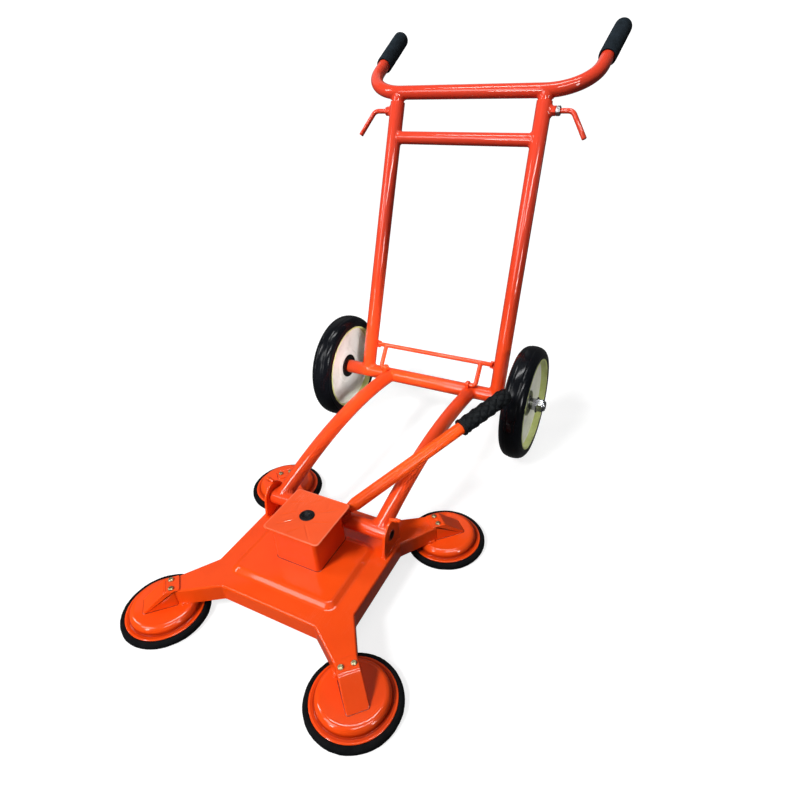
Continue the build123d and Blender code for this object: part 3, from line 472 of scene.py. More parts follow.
class Geo:
    def __init__(self):
        self.v, self.f, self.m = [], [], []

    def add(self, verts, faces, mat=0):
        o = len(self.v)
        self.v += [tuple(p) for p in verts]
        self.f += [tuple(i + o for i in f) for f in faces]
        self.m += [mat] * len(faces)

    def lathe(self, profile, origin, axis, segs, closed=True, wobble=None, up=None, mat=0):
        # profile points are (along the axis, radius) in metres
        u, v, a = basis(axis, up)
        o = Vector(origin)
        verts, faces, rings = [], [], []
        for i, (h, r) in enumerate(profile):
            if r < 1e-7:
                verts.append(o + a * h)
                rings.append([len(verts) - 1])
                continue
            ring = []
            for k in range(segs):
                t = 2 * math.pi * k / segs
                hh, rr = (h, r) if wobble is None else wobble(h, r, t)
                verts.append(o + a * hh + (u * math.cos(t) + v * math.sin(t)) * rr)
                ring.append(len(verts) - 1)
            rings.append(ring)
        n = len(profile)
        for i in range(n if closed else n - 1):
            A, B = rings[i], rings[(i + 1) % n]
            if len(A) == 1 and len(B) == 1:
                continue
            for k in range(segs):
                k2 = (k + 1) % segs
                if len(A) == 1:
                    faces.append((A[0], B[k], B[k2]))
                elif len(B) == 1:
                    faces.append((A[k], B[0], A[k2]))
                else:
                    faces.append((A[k], B[k], B[k2], A[k2]))
        if isinstance(mat, int):
            self.add(verts, faces, mat)
        else:
            # one finish per profile point
            o = len(self.m)
            self.add(verts, faces)
            for i in range(len(faces)):
                self.m[o + i] = mat[i // segs]

    def bead(self, pts, closed, r, ripple=0.10, pitch=0.0032, sides=10, seed=0.0, ends=True):
        # a run of weld along pts: a tube whose radius swells in small scales
        P = [Vector(p) for p in resample([tuple(p) for p in pts], 0.0011, closed)]
        n = len(P)
        L = [0.0]
        for i in range(1, n):
            L.append(L[-1] + (P[i] - P[i - 1]).length)
        total = L[-1] + ((P[0] - P[-1]).length if closed else 0)
        waves = max(1, round(total / pitch))
        verts, faces = [], []
        prev = None
        for i in range(n):
            t = (P[(i + 1) % n] - P[i - 1]) if closed else (P[min(i + 1, n - 1)] - P[max(i - 1, 0)])
            t.normalize()
            if prev is None:
                nrm = t.orthogonal().normalized()
            else:
                nrm = (prev - t * prev.dot(t)).normalized()
            prev = nrm
            b = t.cross(nrm)
            f = L[i] / total
            rr = r * (1 + ripple * math.sin(2 * math.pi * waves * f) + 0.16 * noise.noise(P[i] * 190 + Vector((seed, 0, 0))))
            if ends and not closed:
                d = min(L[i], total - L[i]) / (1.3 * r)
                rr *= math.sqrt(max(0.04, 1 - (1 - min(1, d)) ** 2))
            off = noise.noise_vector(P[i] * 120 + Vector((0, seed, 3))) * r * 0.14
            for k in range(sides):
                a = 2 * math.pi * k / sides
                verts.append(P[i] + off + (nrm * math.cos(a) + b * math.sin(a)) * rr)
        for i in range(n if closed else n - 1):
            j = (i + 1) % n
            shift = 0
            if closed and j == 0:
                # the frame may have turned on the way round: join nearest corners
                d = [(verts[i * sides] - verts[s]).length for s in range(sides)]
                shift = d.index(min(d))
            for k in range(sides):
                k2 = (k + 1) % sides
                faces.append((i * sides + k, i * sides + k2, j * sides + (k2 + shift) % sides, j * sides + (k + shift) % sides))
        if not closed:
            faces.append(tuple(range(sides))[::-1])
            faces.append(tuple((n - 1) * sides + k for k in range(sides)))
        self.add(verts, faces)

    def piece(self, name, mats, angle=40.0, recalc=True):
        me = bpy.data.meshes.new(name)
        me.from_pydata(self.v, [], self.f)
        mats = mats if isinstance(mats, (list, tuple)) else [mats]
        for m in mats:
            me.materials.append(m)
        if len(mats) > 1:
            me.polygons.foreach_set("material_index", self.m)
        if recalc:
            bm = bmesh.new()
            bm.from_mesh(me)
            bmesh.ops.recalc_face_normals(bm, faces=bm.faces)
            bm.to_mesh(me)
            bm.free()
        me.polygons.foreach_set("use_smooth", [len(p.vertices) <= 12 for p in me.polygons])
        me.set_sharp_from_angle(angle=math.radians(angle))
        me.update()
        ob = bpy.data.objects.new(name, me)
        SC.collection.objects.link(ob)
        return ob


def stand_for(ob, *nodes):
    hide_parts(*nodes)
    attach(ob, BODY[nodes[0]])
    return ob


def k3(pts):
    # millimetres to metres for profile points
    return [(a / 1000, b / 1000) for a, b in pts]


# ---------------------------------------------------------------------------
# wheels: tyre, rim, pressed discs, hub and bearings
# ---------------------------------------------------------------------------
def tyre_profile():
    pts = []
    n, m = 2.35, 84
    for i in range(m + 1):
        t = math.pi * (1 - i / m)
        c, s = math.cos(t), math.sin(t)
        h = 24.0 * math.copysign(abs(c) ** (2 / n), c)
        r = 107.0 + 18.0 * abs(s) ** (2 / n)
        # two shallow grooves in the tread and a raised line on each side wall
        for g in (-9.0, 9.0):
            r -= 0.9 * math.exp(-((h - g) / 1.1) ** 2)
        if abs(h) > 15:
            h += math.copysign(0.7 * math.exp(-((r - 113.0) / 0.8) ** 2), h)
        pts.append((h, r))
    inner = [(23.9, 105.2), (23.5, 102.9), (22.9, 101.4), (22.0, 100.9), (-22.0, 100.9), (-22.9, 101.4), (-23.5, 102.9), (-23.9, 105.2)]
    return pts + inner


for name, s in SIDES:
    at = Vector((s * 0.2295, YA, AX_Z))
    ax = (s, 0, 0)
    g = Geo()

    def uneven(h, r, t, s=s):
        k = 0.00022 * noise.noise(Vector((math.cos(t) * 3, math.sin(t) * 3, h * 60 + s * 7)))
        return h, r + k

    prof = tyre_profile()
    g.lathe(k3(prof), at, ax, 220, True, uneven, mat=[0 if r > 113.4 else 1 for h, r in prof])
    stand_for(g.piece(f"tyre_{name}_rubber", [TYRE, TYRE_WALL], 60), f"tyre_{name}")

    g = Geo()
    band = rounded([(-21.0, 98.0, 0), (21.0, 98.0, 1.5), (22.6, 97.2, 1.2), (23.6, 98.6, 1.2), (23.4, 101.2, 0.8), (22.4, 101.0, 0.4),
                    (-22.4, 101.0, 0.4), (-23.4, 101.2, 0.8), (-23.6, 98.6, 1.2), (-22.6, 97.2, 1.2)], 5)
    g.lathe(k3(band), at, ax, 180)
    stand_for(g.piece(f"rim_{name}_band", RIM, 40), f"rim_{name}")

    g = Geo()
    for f in (-1, 1):
        outer = [(8.0, 26.8, 0), (8.0, 39.0, 3), (6.6, 43.0, 3), (6.6, 80.0, 5), (8.2, 87.0, 4), (8.2, 93.0, 2.5), (10.4, 97.9, 1.0)]
        inner = [(8.2, 98.1, 0.5), (5.9, 93.6, 2), (5.9, 87.0, 4), (4.3, 80.0, 5), (4.3, 43.0, 3), (5.6, 39.0, 3), (5.6, 26.8, 0)]
        prof = rounded(outer + inner, 5)
        g.lathe(k3([(f * h, r) for h, r in prof]), at, ax, 160)
    stand_for(g.piece(f"disc_{name}_plates", DISC, 40), f"disc_{name}")

    g = Geo()
    g.lathe(k3(rounded([(-11.0, 22.0, 0.5), (0.5, 22.0, 0), (0.5, 28.6, 0), (-9.0, 28.6, 0.8), (-11.0, 27.0, 1.2)], 4)), at, ax, 96)
    g.lathe(k3(rounded([(0.5, 22.0, 0), (11.0, 22.0, 0.5), (11.0, 26.4, 1.4), (9.0, 28.6, 0.8), (0.5, 28.6, 0)], 4)), at, ax, 96, mat=1)
    stand_for(g.piece(f"hub_{name}_barrel", [DARK, ZINC], 40), f"hub_{name}")

    g = Geo()
    for f in (-1, 1):
        out = 2 if f > 0 else 0
        for mat, prof in ((out, [(-1.0 if f < 0 else -0.9, 18.2, 0.4), (10.0, 18.2, 0.5), (10.0, 21.95, 0.6), (-1.0 if f < 0 else -0.9, 21.95, 0.6)]),
                          (1, [(0.5, 13.7, 0.3), (9.2, 13.7, 0.4), (9.4, 16.0, 0.6), (9.2, 18.3, 0.4), (0.5, 18.3, 0.3)]),
                          (out, [(-1.0, 10.06, 0.5), (10.0, 10.06, 0.6), (10.0, 13.8, 0.5), (-1.0, 13.8, 0.4)])):
            g.lathe(k3([(f * h, r) for h, r in rounded(prof, 3)]), at, ax, 72, mat=mat)
    stand_for(g.piece(f"bearings_{name}_rings", [DARK, CHROME, ZINC], 40), f"bearings_{name}")

# ---------------------------------------------------------------------------
# hand grips: foam sleeves with a closed round end
# ---------------------------------------------------------------------------
H = on_upright(1, 609.0 + 19.7)
BK = Vector((0.06, 0.90, 0.43)).normalized()
GL, GR = 130.77, 18.5


def foam_skin(seed, amp, inner):
    def f(h, r, t):
        if r < inner:
            return h, r
        q = Vector((math.cos(t) * r, math.sin(t) * r, h)) * 1000
        d = 0.55 * noise.noise(q * 0.42 + Vector((seed, 0, 0))) + 0.30 * noise.noise(q * 1.05 + Vector((0, seed, 0))) + 0.5 * noise.noise(q * 0.06)
        return h, r + amp * d / 1000
    return f


for i, (name, s) in enumerate(SIDES):
    bk = Vector((s * BK.x, BK.y, BK.z))
    g0 = Vector((s * 0.248, H.y, H.z)) + bk * 0.119
    prof = rounded([(GL - 7.0, 0, 0), (GL - 7.0, 14.0, 0.5), (7.0, 14.0, 4), (0.3, 15.4, 0.9), (0.0, 17.9, 1.4), (6.0, GR, 6),
                    (GL - 20.0, GR + 0.1, 8), (GL, GR - 0.2, 15.0), (GL, 0, 0)], 9, closed=False)
    prof = resample(prof, 1.15)
    g = Geo()
    g.lathe(k3(prof), g0, bk, 120, False, foam_skin(3.1 + i, 0.34, 0.0145))
    ob = stand_for(g.piece(f"grip_{name}_foam", FOAM, 70), f"grip_{name}")

# ---------------------------------------------------------------------------
# lever grip: rubber sleeve with embossed scales and a flat collar
# ---------------------------------------------------------------------------
LR = math.radians(16.5)
LU = Vector((0.5164, 0.8563, 0)).normalized()
LDIR = LU * math.cos(LR) + Vector((0, 0, math.sin(LR)))
LPV = mm(39.0, -456.0, 116.3)
LG0 = LPV + LDIR * 0.264
LGL = 118.0


def scales(h, r, t):
    hm = h * 1000
    if r < 0.0128 or hm < 8.0:
        return h, r
    fade = min(1.0, (hm - 8.0) / 3.0) * min(1.0, max(0.0, (LGL - 4.0 - hm)) / 5.0)
    # overlapping leaves: pointed cells in a half-shifted lattice, each higher at its far end
    cells = 5
    q = Vector((math.cos(t) * 15, math.sin(t) * 15, hm))
    u = t / (2 * math.pi) * cells + 0.10 * noise.noise(q * 0.055 + Vector((7.0, 0, 0)))
    v = (hm - 8.0) / 20.0 + 0.10 * noise.noise(q * 0.055)
    a, b = u + v, u - v
    pa, pb = abs(math.sin(math.pi * a)), abs(math.sin(math.pi * b))
    pill = min(1.0, (pa * pb) ** 0.5 * 1.15)
    fa, fb = a % 1.0, b % 1.0
    tip = (fa - fb) * 0.45
    d = 2.3 * pill * (1 + tip) + 0.22 * noise.noise(q * 0.4)
    return h, r + fade * (d - 1.25) / 1000


prof = rounded([(LGL - 6.5, 0, 0), (LGL - 6.5, 11.75, 0.4), (0.0, 11.85, 0.8), (0.0, 16.7, 0.9), (4.2, 17.1, 1.2), (5.6, 15.5, 1.0), (8.5, 15.4, 2),
                (LGL - 12.0, 15.5, 5), (LGL - 3.0, 14.2, 4.5), (LGL, 9.0, 3.0), (LGL, 0, 0)], 5, closed=False)
prof = resample(prof, 0.8)
g = Geo()
g.lathe(k3(prof), LG0, LDIR, 176, False, scales)
stand_for(g.piece("lever_grip_scaled", GRIP, 70), "lever_grip")

# ---------------------------------------------------------------------------
# suction cups: dish, sponge ring, strap cover
# ---------------------------------------------------------------------------
CORNERS = {"front_left": (-1, -1), "front_right": (1, -1), "rear_right": (1, 1), "rear_left": (-1, 1)}


def cup_at(c):
    return c[0] * 182.0, -510.0 + c[1] * 170.5


def arm_pt(c, e, w, z):
    # e along the arm from the cup middle, w across it
    cx, cy = cup_at(c)
    return mm(cx + c[0] * DIAG * (e + w), cy + c[1] * DIAG * (e - w), z)


shoulder = [(17.0 + 10.3 * math.cos(math.pi / 2 * k / 14) ** 0.95, 45.2 + 9.9 * math.sin(math.pi / 2 * k / 14) ** 0.95) for k in range(15)]
dish_prof = [(24.5, 3.0), (27.3, 3.0), (27.3, 20.0)] + shoulder + rounded([(17.0, 55.1, 0), (14.4, 55.4, 1.2), (13.5, 57.6, 1.6), (13.5, 60.0, 0), (13.5, 61.2, 0), (13.5, 63.2, 0.7), (12.7, 64.1, 0.7), (11.0, 63.6, 0.5),
                     (11.0, 54.4, 1.5), (16.5, 52.8, 2), (23.0, 50.8, 5), (24.5, 44.0, 5), (24.5, 30.0, 0)], 8, closed=False)[1:]
# painted shade: the dome's foot and the groove beside it take darker paint where shade falls
dish_shade_mats = []
for (h0, r0), (h1, r1) in zip(dish_prof, dish_prof[1:] + dish_prof[:1]):
    h, r = (h0 + h1) / 2, (r0 + r1) / 2
    far = math.hypot(h - 14.2, r - 56.0)
    top = h > 12.9 and r > 52.5
    dish_shade_mats.append(2 if top and far < 2.4 else 1 if top and far < 4.9 else 0)
covers = Geo()
for ci, (key, c) in enumerate(CORNERS.items()):
    cx, cy = cup_at(c)
    at = mm(cx, cy, 0)
    g = Geo()

    def dents(h, r, t, ci=ci):
        q = Vector((math.cos(t) * r, math.sin(t) * r, ci * 0.31)) * 26
        return h + 0.00022 * noise.noise(q) * min(1.0, r / 0.02), r

    g.lathe(k3(dish_prof), at, (0, 0, 1), 160, True, dents, mat=dish_shade_mats)
    stand_for(g.piece(f"cup_{key}_dish", [ORANGE, GROOVE_SHADE_PAINT, DEEP_SHADE_PAINT], 50), f"cup_{key}")

    g = Geo()
    ring = rounded([(0.0, 46.5, 1.5), (0.0, 70.0, 3.5), (3.0, 72.4, 4), (9.6, 72.2, 4), (12.9, 68.4, 2.6), (12.2, 64.4, 0.8), (11.0, 63.8, 0.3), (10.9, 46.5, 1.0)], 7)
    ring = resample(ring, 1.0, True)

    def sponge(h, r, t, ci=ci):
        if r < 0.0645:
            return h, r
        w = 0.55 * noise.noise(Vector((math.cos(t) * 2.6, math.sin(t) * 2.6, ci * 5.0))) + 0.30 * noise.noise(Vector((math.cos(t) * 9, math.sin(t) * 9, ci * 3.0 + 9)))
        q = Vector((math.cos(t) * r, math.sin(t) * r, h)) * 1000
        k = 0.26 * noise.noise(q * 0.35 + Vector((ci * 9.0, 0, 0))) + 0.15 * noise.noise(q * 0.9)
        grow = min(1.0, (r - 0.0645) / 0.004)
        hh = h + grow * (0.35 * noise.noise(Vector((math.cos(t) * 4, math.sin(t) * 4, ci * 2.0)))) / 1000 * (1 if h > 0.006 else 0)
        return max(0.0, hh), r + grow * (w * 0.9 + k + 0.25) / 1000

    g.lathe(k3(ring), at, (0, 0, 1), 260, True, sponge)
    ob = stand_for(g.piece(f"seal_{key}_sponge", SPONGE, 60), f"seal_{key}")

    # strap cover: flap under the screws, bend, slope down to the dish, closed sides
    poly = rounded([(-33.0, 58.05, 0), (-33.0, 60.0, 0.9), (-8.2, 60.0, 8.0), (31.0, 28.3, 1.6), (31.4, 27.0, 0), (-24.3, 27.0, 0), (-24.3, 58.05, 0)], 7)
    poly = resample(poly, 2.2, True)
    n = len(poly)
    nrm = []
    for i in range(n):
        a, b = Vector(poly[i - 1]), Vector(poly[(i + 1) % n])
        t = (b - a).normalized()
        nrm.append(Vector((-t.y, t.x)))
    area = sum(poly[i][0] * poly[(i + 1) % n][1] - poly[(i + 1) % n][0] * poly[i][1] for i in range(n))
    sign = 1 if area > 0 else -1
    W, RE = 16.5, 1.3
    stations = [(-W, RE), (-W + 0.25, RE * 0.42), (-W + 0.7, RE * 0.12), (-W + RE, 0.0), (-14.0, 0), (-12.5, 0), (-7, 0), (0, 0), (7, 0), (12.5, 0), (14.0, 0),
                (W - RE, 0.0), (W - 0.7, RE * 0.12), (W - 0.25, RE * 0.42), (W, RE)]
    verts, faces = [], []
    for w, inset in stations:
        cor = 4.0 - math.sqrt(max(0.0, 16.0 - max(0.0, abs(w) - (W - 4.0)) ** 2))
        for i in range(n):
            e, z = poly[i]
            if inset and z > 27.05:
                k = min(inset, 0.8) if e < -24.4 else inset
                e += nrm[i].x * k * sign
                z += nrm[i].y * k * sign
            z = max(27.0, z)
            if e < -24.4:
                e = max(e, -33.0 + cor)
                z = max(z, 58.02)
            if e > 20.0:
                e = min(e, 31.4 - 0.9 * cor)
            # the slope sags a little in its middle
            sag = 0.35 * math.sin(math.pi * min(1, max(0, (e + 6) / 34))) * (1 - (w / W) ** 2)
            verts.append(arm_pt(c, e, w, z - (sag if z > 28.5 and e > -6 else 0)))
    m = len(stations)
    for k in range(m - 1):
        for i in range(n):
            j = (i + 1) % n
            faces.append((k * n + i, k * n + j, (k + 1) * n + j, (k + 1) * n + i))
    faces.append(tuple(range(n)))
    faces.append(tuple((m - 1) * n + i for i in range(n))[::-1])
    covers.add(verts, faces)
    # two faint press marks across the bend
    for e, z in ((-10.9, 60.0), (-8.2, 59.45)):
        covers.bead([arm_pt(c, e, w, z - 0.05) for w in (-15.2, -10.0, -5.0, 0.0, 5.0, 10.0, 15.2)], False, 0.0005, 0.06, 0.006, 10, seed=71.0 + ci + e)
stand_for(covers.piece("cup_covers_straps", ORANGE, 38), "cup_covers")

# painted shadow: dark beads round each cover's edge on the dish and arm stand for the shade in the gap
g = Geo()
for i, c in enumerate(CORNERS.values()):
    edge = rounded([(-24.0, -16.7, 0), (31.3, -16.7, 4.0), (31.3, 16.7, 4.0), (-24.0, 16.7, 0)], 6, closed=False)
    g.bead([arm_pt(c, e, w, 27.35) for e, w in edge], False, 0.0007, 0.10, 0.006, 8, seed=51.0 + i)
COVER_GAP_SHADOWS = g

# ---------------------------------------------------------------------------
# pump lid: sheet with rolled edges and shallow creases
# ---------------------------------------------------------------------------
def crease(x, y):
    q = Vector((x, y, 0.0))
    d = 0.30 * noise.noise(q * 0.022 + Vector((4.0, 1.0, 0))) + 0.10 * noise.noise(q * 0.07)
    for (x0, y0), (x1, y1), depth, wid in (((-33, -540), (-12, -518), 0.70, 1.3), ((10, -524), (34, -549), 0.66, 1.2), ((16, -490), (40, -472), 0.62, 1.4), ((-44, -490), (-19, -476), 0.60, 1.2),
                                           ((-10, -479), (3, -460), 0.60, 1.1), ((19, -514), (45, -503), 0.52, 1.2), ((-40, -520), (-21, -503), 0.55, 1.2), ((-22, -500), (-33, -478), 0.45, 1.0),
                                           ((6, -534), (-8, -552), 0.55, 1.1), ((24, -482), (20, -462), 0.45, 1.0)):
        ax, ay = x1 - x0, y1 - y0
        t = max(0.0, min(1.0, ((x - x0) * ax + (y - y0) * ay) / (ax * ax + ay * ay)))
        dd = math.hypot(x - x0 - t * ax, y - y0 - t * ay)
        d -= depth * math.exp(-(dd / wid) ** 2) * math.sin(math.pi * (0.12 + 0.76 * t))
    return d


def rounded_rect(cx, cy, wx, wy, r, n):
    pts = rounded([(cx - wx, cy - wy, r), (cx + wx, cy - wy, r), (cx + wx, cy + wy, r), (cx - wx, cy + wy, r)], 8)
    pts = resample(pts, 0.5, True)
    L = [0.0]
    for i in range(1, len(pts) + 1):
        L.append(L[-1] + math.dist(pts[i - 1], pts[i % len(pts)]))
    out = []
    for k in range(n):
        d = L[-1] * k / n
        i = next(j for j in range(len(L) - 1) if L[j + 1] > d)
        f = (d - L[i]) / (L[i + 1] - L[i])
        a, b = pts[i], pts[(i + 1) % len(pts)]
        out.append((a[0] + (b[0] - a[0]) * f, a[1] + (b[1] - a[1]) * f))
    return out


LN = 260
VX, VY = 0.3, -504.5
outer = rounded_rect(0.5, -504.0, 54.0, 52.0, 6.5, LN)
loops = []


def lid_ring(inset, z, f=0.0, wave=1.0):
    ring = []
    for x, y in outer:
        sx, sy = 0.5 + (x - 0.5) * (54.0 - inset) / 54.0, -504.0 + (y + 504.0) * (52.0 - inset) / 52.0
        dx, dy = sx - VX, sy - VY
        d = math.hypot(dx, dy)
        k = 1 - f + f * 9.5 / d
        px, py = VX + dx * k, VY + dy * k
        ring.append(mm(px, py, z + wave * crease(px, py)))
    return ring


RL = 1.1
for j in range(5):
    a = math.pi / 2 * j / 4
    loops.append(lid_ring(RL * (1 - math.sin(a)), 133.6 + RL * (1 - math.cos(a)), 0.0, 0.3))
for j in range(5):
    a = math.pi / 2 * j / 4
    loops.append(lid_ring(RL * (1 - math.cos(a)), 136.5 - RL + RL * math.sin(a), 0.0, 0.3 + 0.7 * j / 4))
for j in range(1, 34):
    loops.append(lid_ring(RL, 136.5, j / 33))
loops.append(lid_ring(RL, 133.6, 1.0, 0.0))
g = Geo()
verts = [p for ring in loops for p in ring]
faces = []
for k in range(len(loops)):
    k2 = (k + 1) % len(loops)
    for i in range(LN):
        j = (i + 1) % LN
        faces.append((k * LN + i, k * LN + j, k2 * LN + j, k2 * LN + i))
g.add(verts, faces)
# lighter paint along the upper edge: rubbed paint, and a painted highlight for the edge's rounding
for k in range(6, 10):
    for i in range(LN):
        g.m[k * LN + i] = 1
stand_for(g.piece("pump_lid_sheet", [ORANGE_WORN, RUBBED_EDGE_HIGHLIGHT], 40), "pump_lid")


# ---------------------------------------------------------------------------
# weld seams under the paint
# ---------------------------------------------------------------------------
def saddle(p, d, r, q, m, R, n=96, keep=None):
    # where a tube along d (point p, radius r) meets a round bar along m (point q, radius R)
    p, q, d, m = Vector(p), Vector(q), Vector(d).normalized(), Vector(m).normalized()
    u, v, _ = basis(d)
    dp = d - m * d.dot(m)
    a = dp.dot(dp)
    rays = [u * math.cos(2 * math.pi * k / n) + v * math.sin(2 * math.pi * k / n) for k in range(n)]
    if keep:
        ok = [keep(x) for x in rays]
        first = next(k for k in range(n) if ok[k] and not ok[k - 1])
        rays = [rays[(first + k) % n] for k in range(sum(ok))]
    out = []
    for ray in rays:
        b0 = p + ray * r
        w = b0 - q
        wp = w - m * w.dot(m)
        b, c = wp.dot(dp), wp.dot(wp) - R * R
        out.append(b0 + d * ((-b + math.sqrt(max(0.0, b * b - a * c))) / a))
    return out


def weld(geo, p, d, r, q, m, R, leg, n=120, seed=0.0, ripple=0.10):
    # a concave fillet between a tube along d and the round bar along m that it is welded to
    p, q, d, m = Vector(p), Vector(q), Vector(d).normalized(), Vector(m).normalized()
    u, v, _ = basis(d)
    rim = saddle(p, d, r, q, m, R, n)
    per = sum((rim[i] - rim[i - 1]).length for i in range(n))
    waves = max(4, round(per / 0.0042))
    rows = []
    for k in range(n):
        t = 2 * math.pi * k / n
        ray = u * math.cos(t) + v * math.sin(t)
        s0 = rim[k]
        f = 1 + ripple * math.sin(waves * t) + 0.22 * noise.noise(s0 * 150 + Vector((seed, 0, 0)))
        on_tube = s0 + d * leg * f
        side = s0 + ray * leg * f
        w = side - q
        ax = m * w.dot(m)
        on_bar = q + ax + (w - ax).normalized() * R
        mid = s0 + (on_tube - s0) * 0.22 + (on_bar - s0) * 0.22
        row = []
        for j in range(9):
            g = j / 8
            row.append(on_tube * (1 - g) ** 2 + mid * 2 * g * (1 - g) + on_bar * g * g)
        w0 = s0 - q
        deep = w0 - m * w0.dot(m)
        row.append(s0 - deep.normalized() * 0.0014 - ray * 0.0014)
        rows.append(row)
    c = len(rows[0])
    faces = []
    for k in range(n):
        k2 = (k + 1) % n
        for j in range(c):
            j2 = (j + 1) % c
            faces.append((k * c + j, k * c + j2, k2 * c + j2, k2 * c + j))
    geo.add([x for row in rows for x in row], faces)


def circle3(p1, p2, p3):
    (x1, y1), (x2, y2), (x3, y3) = p1, p2, p3
    d = 2 * (x1 * (y2 - y3) + x2 * (y3 - y1) + x3 * (y1 - y2))
    q1, q2, q3 = x1 * x1 + y1 * y1, x2 * x2 + y2 * y2, x3 * x3 + y3 * y3
    return (q1 * (y2 - y3) + q2 * (y3 - y1) + q3 * (y1 - y2)) / d, (q1 * (x3 - x2) + q2 * (x1 - x3) + q3 * (x2 - x1)) / d


ARM_C = circle3((0.0, 122.0), (-225.0, 133.5), (-446.0, 91.0))


def arm_tangent(y, z):
    # direction of the arm's arc at that point, towards -y
    ry, rz = y - ARM_C[0], z - ARM_C[1]
    t = Vector((0, -rz, ry)).normalized()
    return t if t.y < 0 else -t


swing = Vector((0, -(189.0 - 146.0), 24.0 + 9.0)).normalized()
fw, hw, bw = Geo(), Geo(), Geo()
for i, (name, s) in enumerate(SIDES):
    up0 = on_upright(s, 0)
    weld(fw, up0, UP, 0.016, (0, YA, AX_Z), (1, 0, 0), 0.016, 0.0046, seed=1.0 + i)
    weld(fw, mm(s * 103, 0, 122), arm_tangent(0, 122), 0.015, (0, YA, AX_Z), (1, 0, 0), 0.016, 0.0046, seed=3.0 + i)
    weld(fw, mm(s * 103, -446, 91), -arm_tangent(-446, 91), 0.015, mm(0, -446, 91), (1, 0, 0), 0.014, 0.0056, seed=5.0 + i, ripple=0.30)
    weld(fw, on_upright(s, 536), (-s, 0, 0), 0.01325, up0, UP, 0.016, 0.0042, seed=7.0 + i)
    weld(fw, on_upright(s, 591), (s, 0, 0), 0.0087, up0, UP, 0.016, 0.0056, 72, seed=9.0 + i, ripple=0.05)
    fw.bead(saddle(mm(s * 164, 24, 189), (-s, 0, 0), 0.0083, up0, UP, 0.016, keep=lambda x: x.dot(swing) < 0.05), False, 0.0019, seed=11.0 + i)
    lug = {"left": 109.5, "right": 99.5}[name]
    for x in (lug - 3.9, lug + 3.9):
        run = [mm(s * x, -9 + dy, 125 + math.sqrt(max(0.0, 16.0 ** 2 - (-9 + dy) ** 2)) + 0.2) for dy in range(-5, 9)]
        fw.bead(run, False, 0.0016, seed=13.0 + i)
    weld(hw, on_upright(s, 628.7), -UP, 0.0128, (0, H.y, H.z), (1, 0, 0), 0.014, 0.0050, seed=15.0 + i, ripple=0.07)
    d = (mm(0, -9, 146) - mm(0, 24, 189)).normalized()
    leg = {"left": 122.5, "right": 117.0}[name]
    weld(bw, mm(s * leg, 24, 189), d, 0.005, mm(0, 24, 189), (1, 0, 0), 0.005, 0.0022, 72, seed=17.0 + i, ripple=0.05)
for g, name, body in ((fw, "frame_welds", "frame"), (hw, "handlebar_welds", "handlebar"), (bw, "bail_welds", "bail")):
    ob = g.piece(name, ORANGE_TUBE_SHADE_SHEEN, 60)
    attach(ob, body)

def hex_nut(geo, origin, axis, up, r, h0, h1, bore, mat=0):
    # six flats whose corners are turned off at the ends, on a round bore
    u, v, a = basis(axis, up)
    segs, seat = 96, r * 0.866
    # (height, radius limit): the turned limit cuts the corners to a chamfer
    rows = [(h0, bore), (h0, seat * 0.985), (h0 + 0.0009, r), (h1 - 0.0009, r), (h1, seat * 0.985), (h1, bore + 0.0007), (h1 - 0.0007, bore)]
    verts, faces = [], []
    for h, lim in rows:
        for k in range(segs):
            t = 2 * math.pi * k / segs
            flat = seat / math.cos((t + math.pi / 6) % (math.pi / 3) - math.pi / 6)
            rr = lim if lim <= bore + 0.001 else min(lim, flat)
            verts.append(Vector(origin) + a * h + (u * math.cos(t + math.pi / 6) + v * math.sin(t + math.pi / 6)) * rr)
    n = len(rows)
    for i in range(n):
        j = (i + 1) % n
        for k in range(segs):
            k2 = (k + 1) % segs
            faces.append((i * segs + k, i * segs + k2, j * segs + k2, j * segs + k))
    geo.add(verts, faces, mat)


g = Geo()
for name, s in SIDES:
    at = on_upright(s, 591)
    hex_nut(g, at, (s, 0, 0), UP, 0.0098, 0.0140, 0.0264, 0.00525)
    if name == "right":
        hex_nut(g, at, (s, 0, 0), UP, 0.0098, 0.0266, 0.0345, 0.00525, mat=1)
stand_for(g.piece("clamp_nuts_hex", [ORANGE_TUBE_SHADE_SHEEN, STEEL], 25), "clamp_nuts")

g = Geo()
for i, (name, s) in enumerate(SIDES):
    for x in (120.3, 126.4):
        g.bead([mm(s * x, y, 58.4) for y in range(-474, -414, 2)], False, 0.0020, 0.12, seed=21.0 + i + x)
    ring = [mm(s * 126.1, -446 + 10.5 * math.cos(k * math.pi / 36), 91 + 10.5 * math.sin(k * math.pi / 36)) for k in range(72)]
    g.bead(ring, True, 0.0011, 0.06, 0.0025, 8, seed=25.0 + i)
for i, (key, c) in enumerate(CORNERS.items()):
    for w in (-17.6, 17.6):
        g.bead([arm_pt(c, e, w, 27.9) for e in range(-47, -25, 2)], False, 0.0030, 0.16, 0.0040, seed=31.0 + i + w)
ob = g.piece("base_welds", ORANGE, 60)
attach(ob, "base")

# painted shadow: a dark bead round the housing's foot stands for the shade in the crease, and the cover beads join it
g = Geo()
g.bead([mm(x, y, 64.15) for x, y in rounded_rect(0, -504.0, 44.25, 44.25, 8.2, 200)], True, 0.0009, 0.10, 0.006, 8, seed=41.0)
ob = COVER_GAP_SHADOWS.piece("cover_gap_shadows", SEAM_SHADOW_PAINT, 60)
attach(ob, "base")
ob = g.piece("housing_seam_shadow", SEAM_SHADOW_PAINT, 60)
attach(ob, "base")


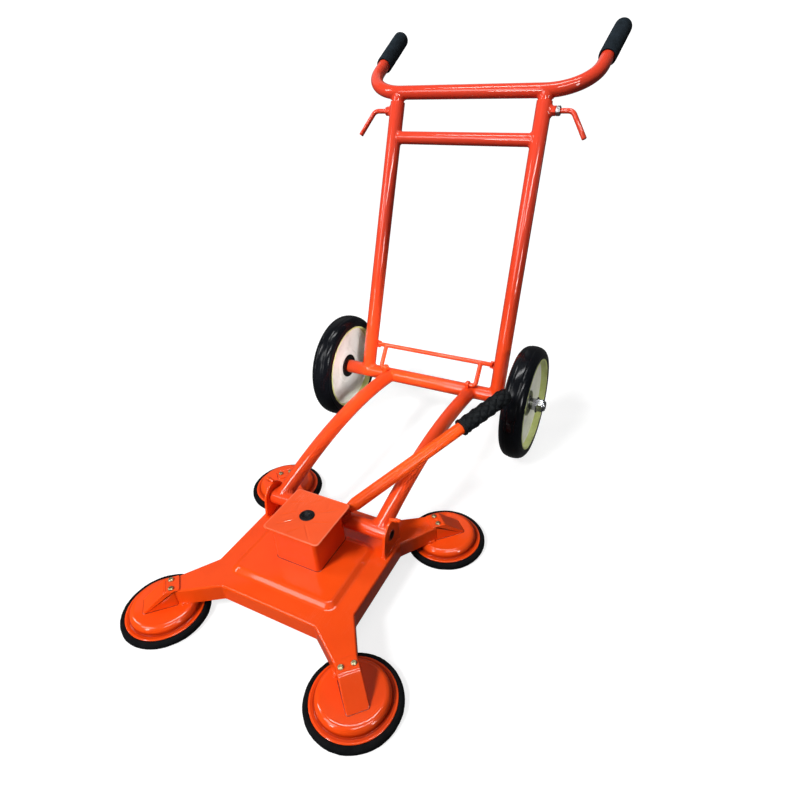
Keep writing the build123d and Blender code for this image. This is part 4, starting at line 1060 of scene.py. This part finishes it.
# ---------------------------------------------------------------------------
# broken edges on cut and sawn pieces
# ---------------------------------------------------------------------------
def soften(width, *nodes):
    for node in nodes:
        ob = N[node]
        w = ob.modifiers.new("merge", "WELD")
        w.merge_threshold = 0.000002
        d = ob.modifiers.new("flat", "DECIMATE")
        d.decimate_type = "DISSOLVE"
        d.angle_limit = math.radians(0.4)
        b = ob.modifiers.new("edge", "BEVEL")
        b.width = width
        b.segments = 2
        b.limit_method = "ANGLE"
        b.angle_limit = math.radians(34)
        b.use_clamp_overlap = False
        b.harden_normals = True


soften(0.0007, "pivot_lugs", "stop_pins", "bail_lugs", "bail_catches")
soften(0.0009, "clamp_screw_left", "clamp_screw_right", "rod_bail")
soften(0.0006, "upright_left", "upright_right", "axle_nuts")

# ---------------------------------------------------------------------------
# floor
# ---------------------------------------------------------------------------
floor_me = bpy.data.meshes.new("floor")
floor_me.from_pydata([(-60, -60, 0), (60, -60, 0), (60, 60, 0), (-60, 60, 0)], [], [(0, 1, 2, 3)])
floor = bpy.data.objects.new("floor", floor_me)
SC.collection.objects.link(floor)
fm = Mat("floor_pale")
fm.set(Roughness=0.85, Specular_IOR_Level=0.2)
fm.set(Emission_Color=(1, 1, 1, 1), Emission_Strength=0.84)
fc = fm.ramp(fm.noise(1.2, 2, 0.5), [(0.3, (0.29, 0.29, 0.29)), (0.7, (0.31, 0.31, 0.31))])
floor_me.materials.append(fm.out(fc))
floor.visible_diffuse = False
floor.visible_glossy = False
floor.visible_shadow = False

card_me = bpy.data.meshes.new("bounce_card")
card_me.from_pydata([(-4, -4, -0.003), (4, -4, -0.003), (4, 4, -0.003), (-4, 4, -0.003)], [], [(0, 1, 2, 3)])
card = bpy.data.objects.new("bounce_card", card_me)
SC.collection.objects.link(card)
cm = Mat("card_grey")
cm.set(Roughness=1.0, Specular_IOR_Level=0.0)
card_me.materials.append(cm.out(cm.ramp(cm.noise(1.0, 2, 0.5), [(0.3, (0.10, 0.10, 0.10)), (0.7, (0.12, 0.12, 0.12))])))
card.visible_camera = False
card.visible_glossy = False
card.visible_shadow = False

dome_me = bpy.data.meshes.new("backdrop")
bm = bmesh.new()
bmesh.ops.create_uvsphere(bm, u_segments=48, v_segments=24, radius=50)
bm.to_mesh(dome_me)
bm.free()
dome = bpy.data.objects.new("backdrop", dome_me)
SC.collection.objects.link(dome)
dm = Mat("backdrop_white")
dm.set(Base_Color=(0, 0, 0, 1), Roughness=1.0, Specular_IOR_Level=0.0, Emission_Color=(1, 1, 1, 1), Emission_Strength=1.25)
dome_me.materials.append(dm.m)
for flag in ("visible_diffuse", "visible_glossy", "visible_transmission", "visible_volume_scatter", "visible_shadow"):
    setattr(dome, flag, False)
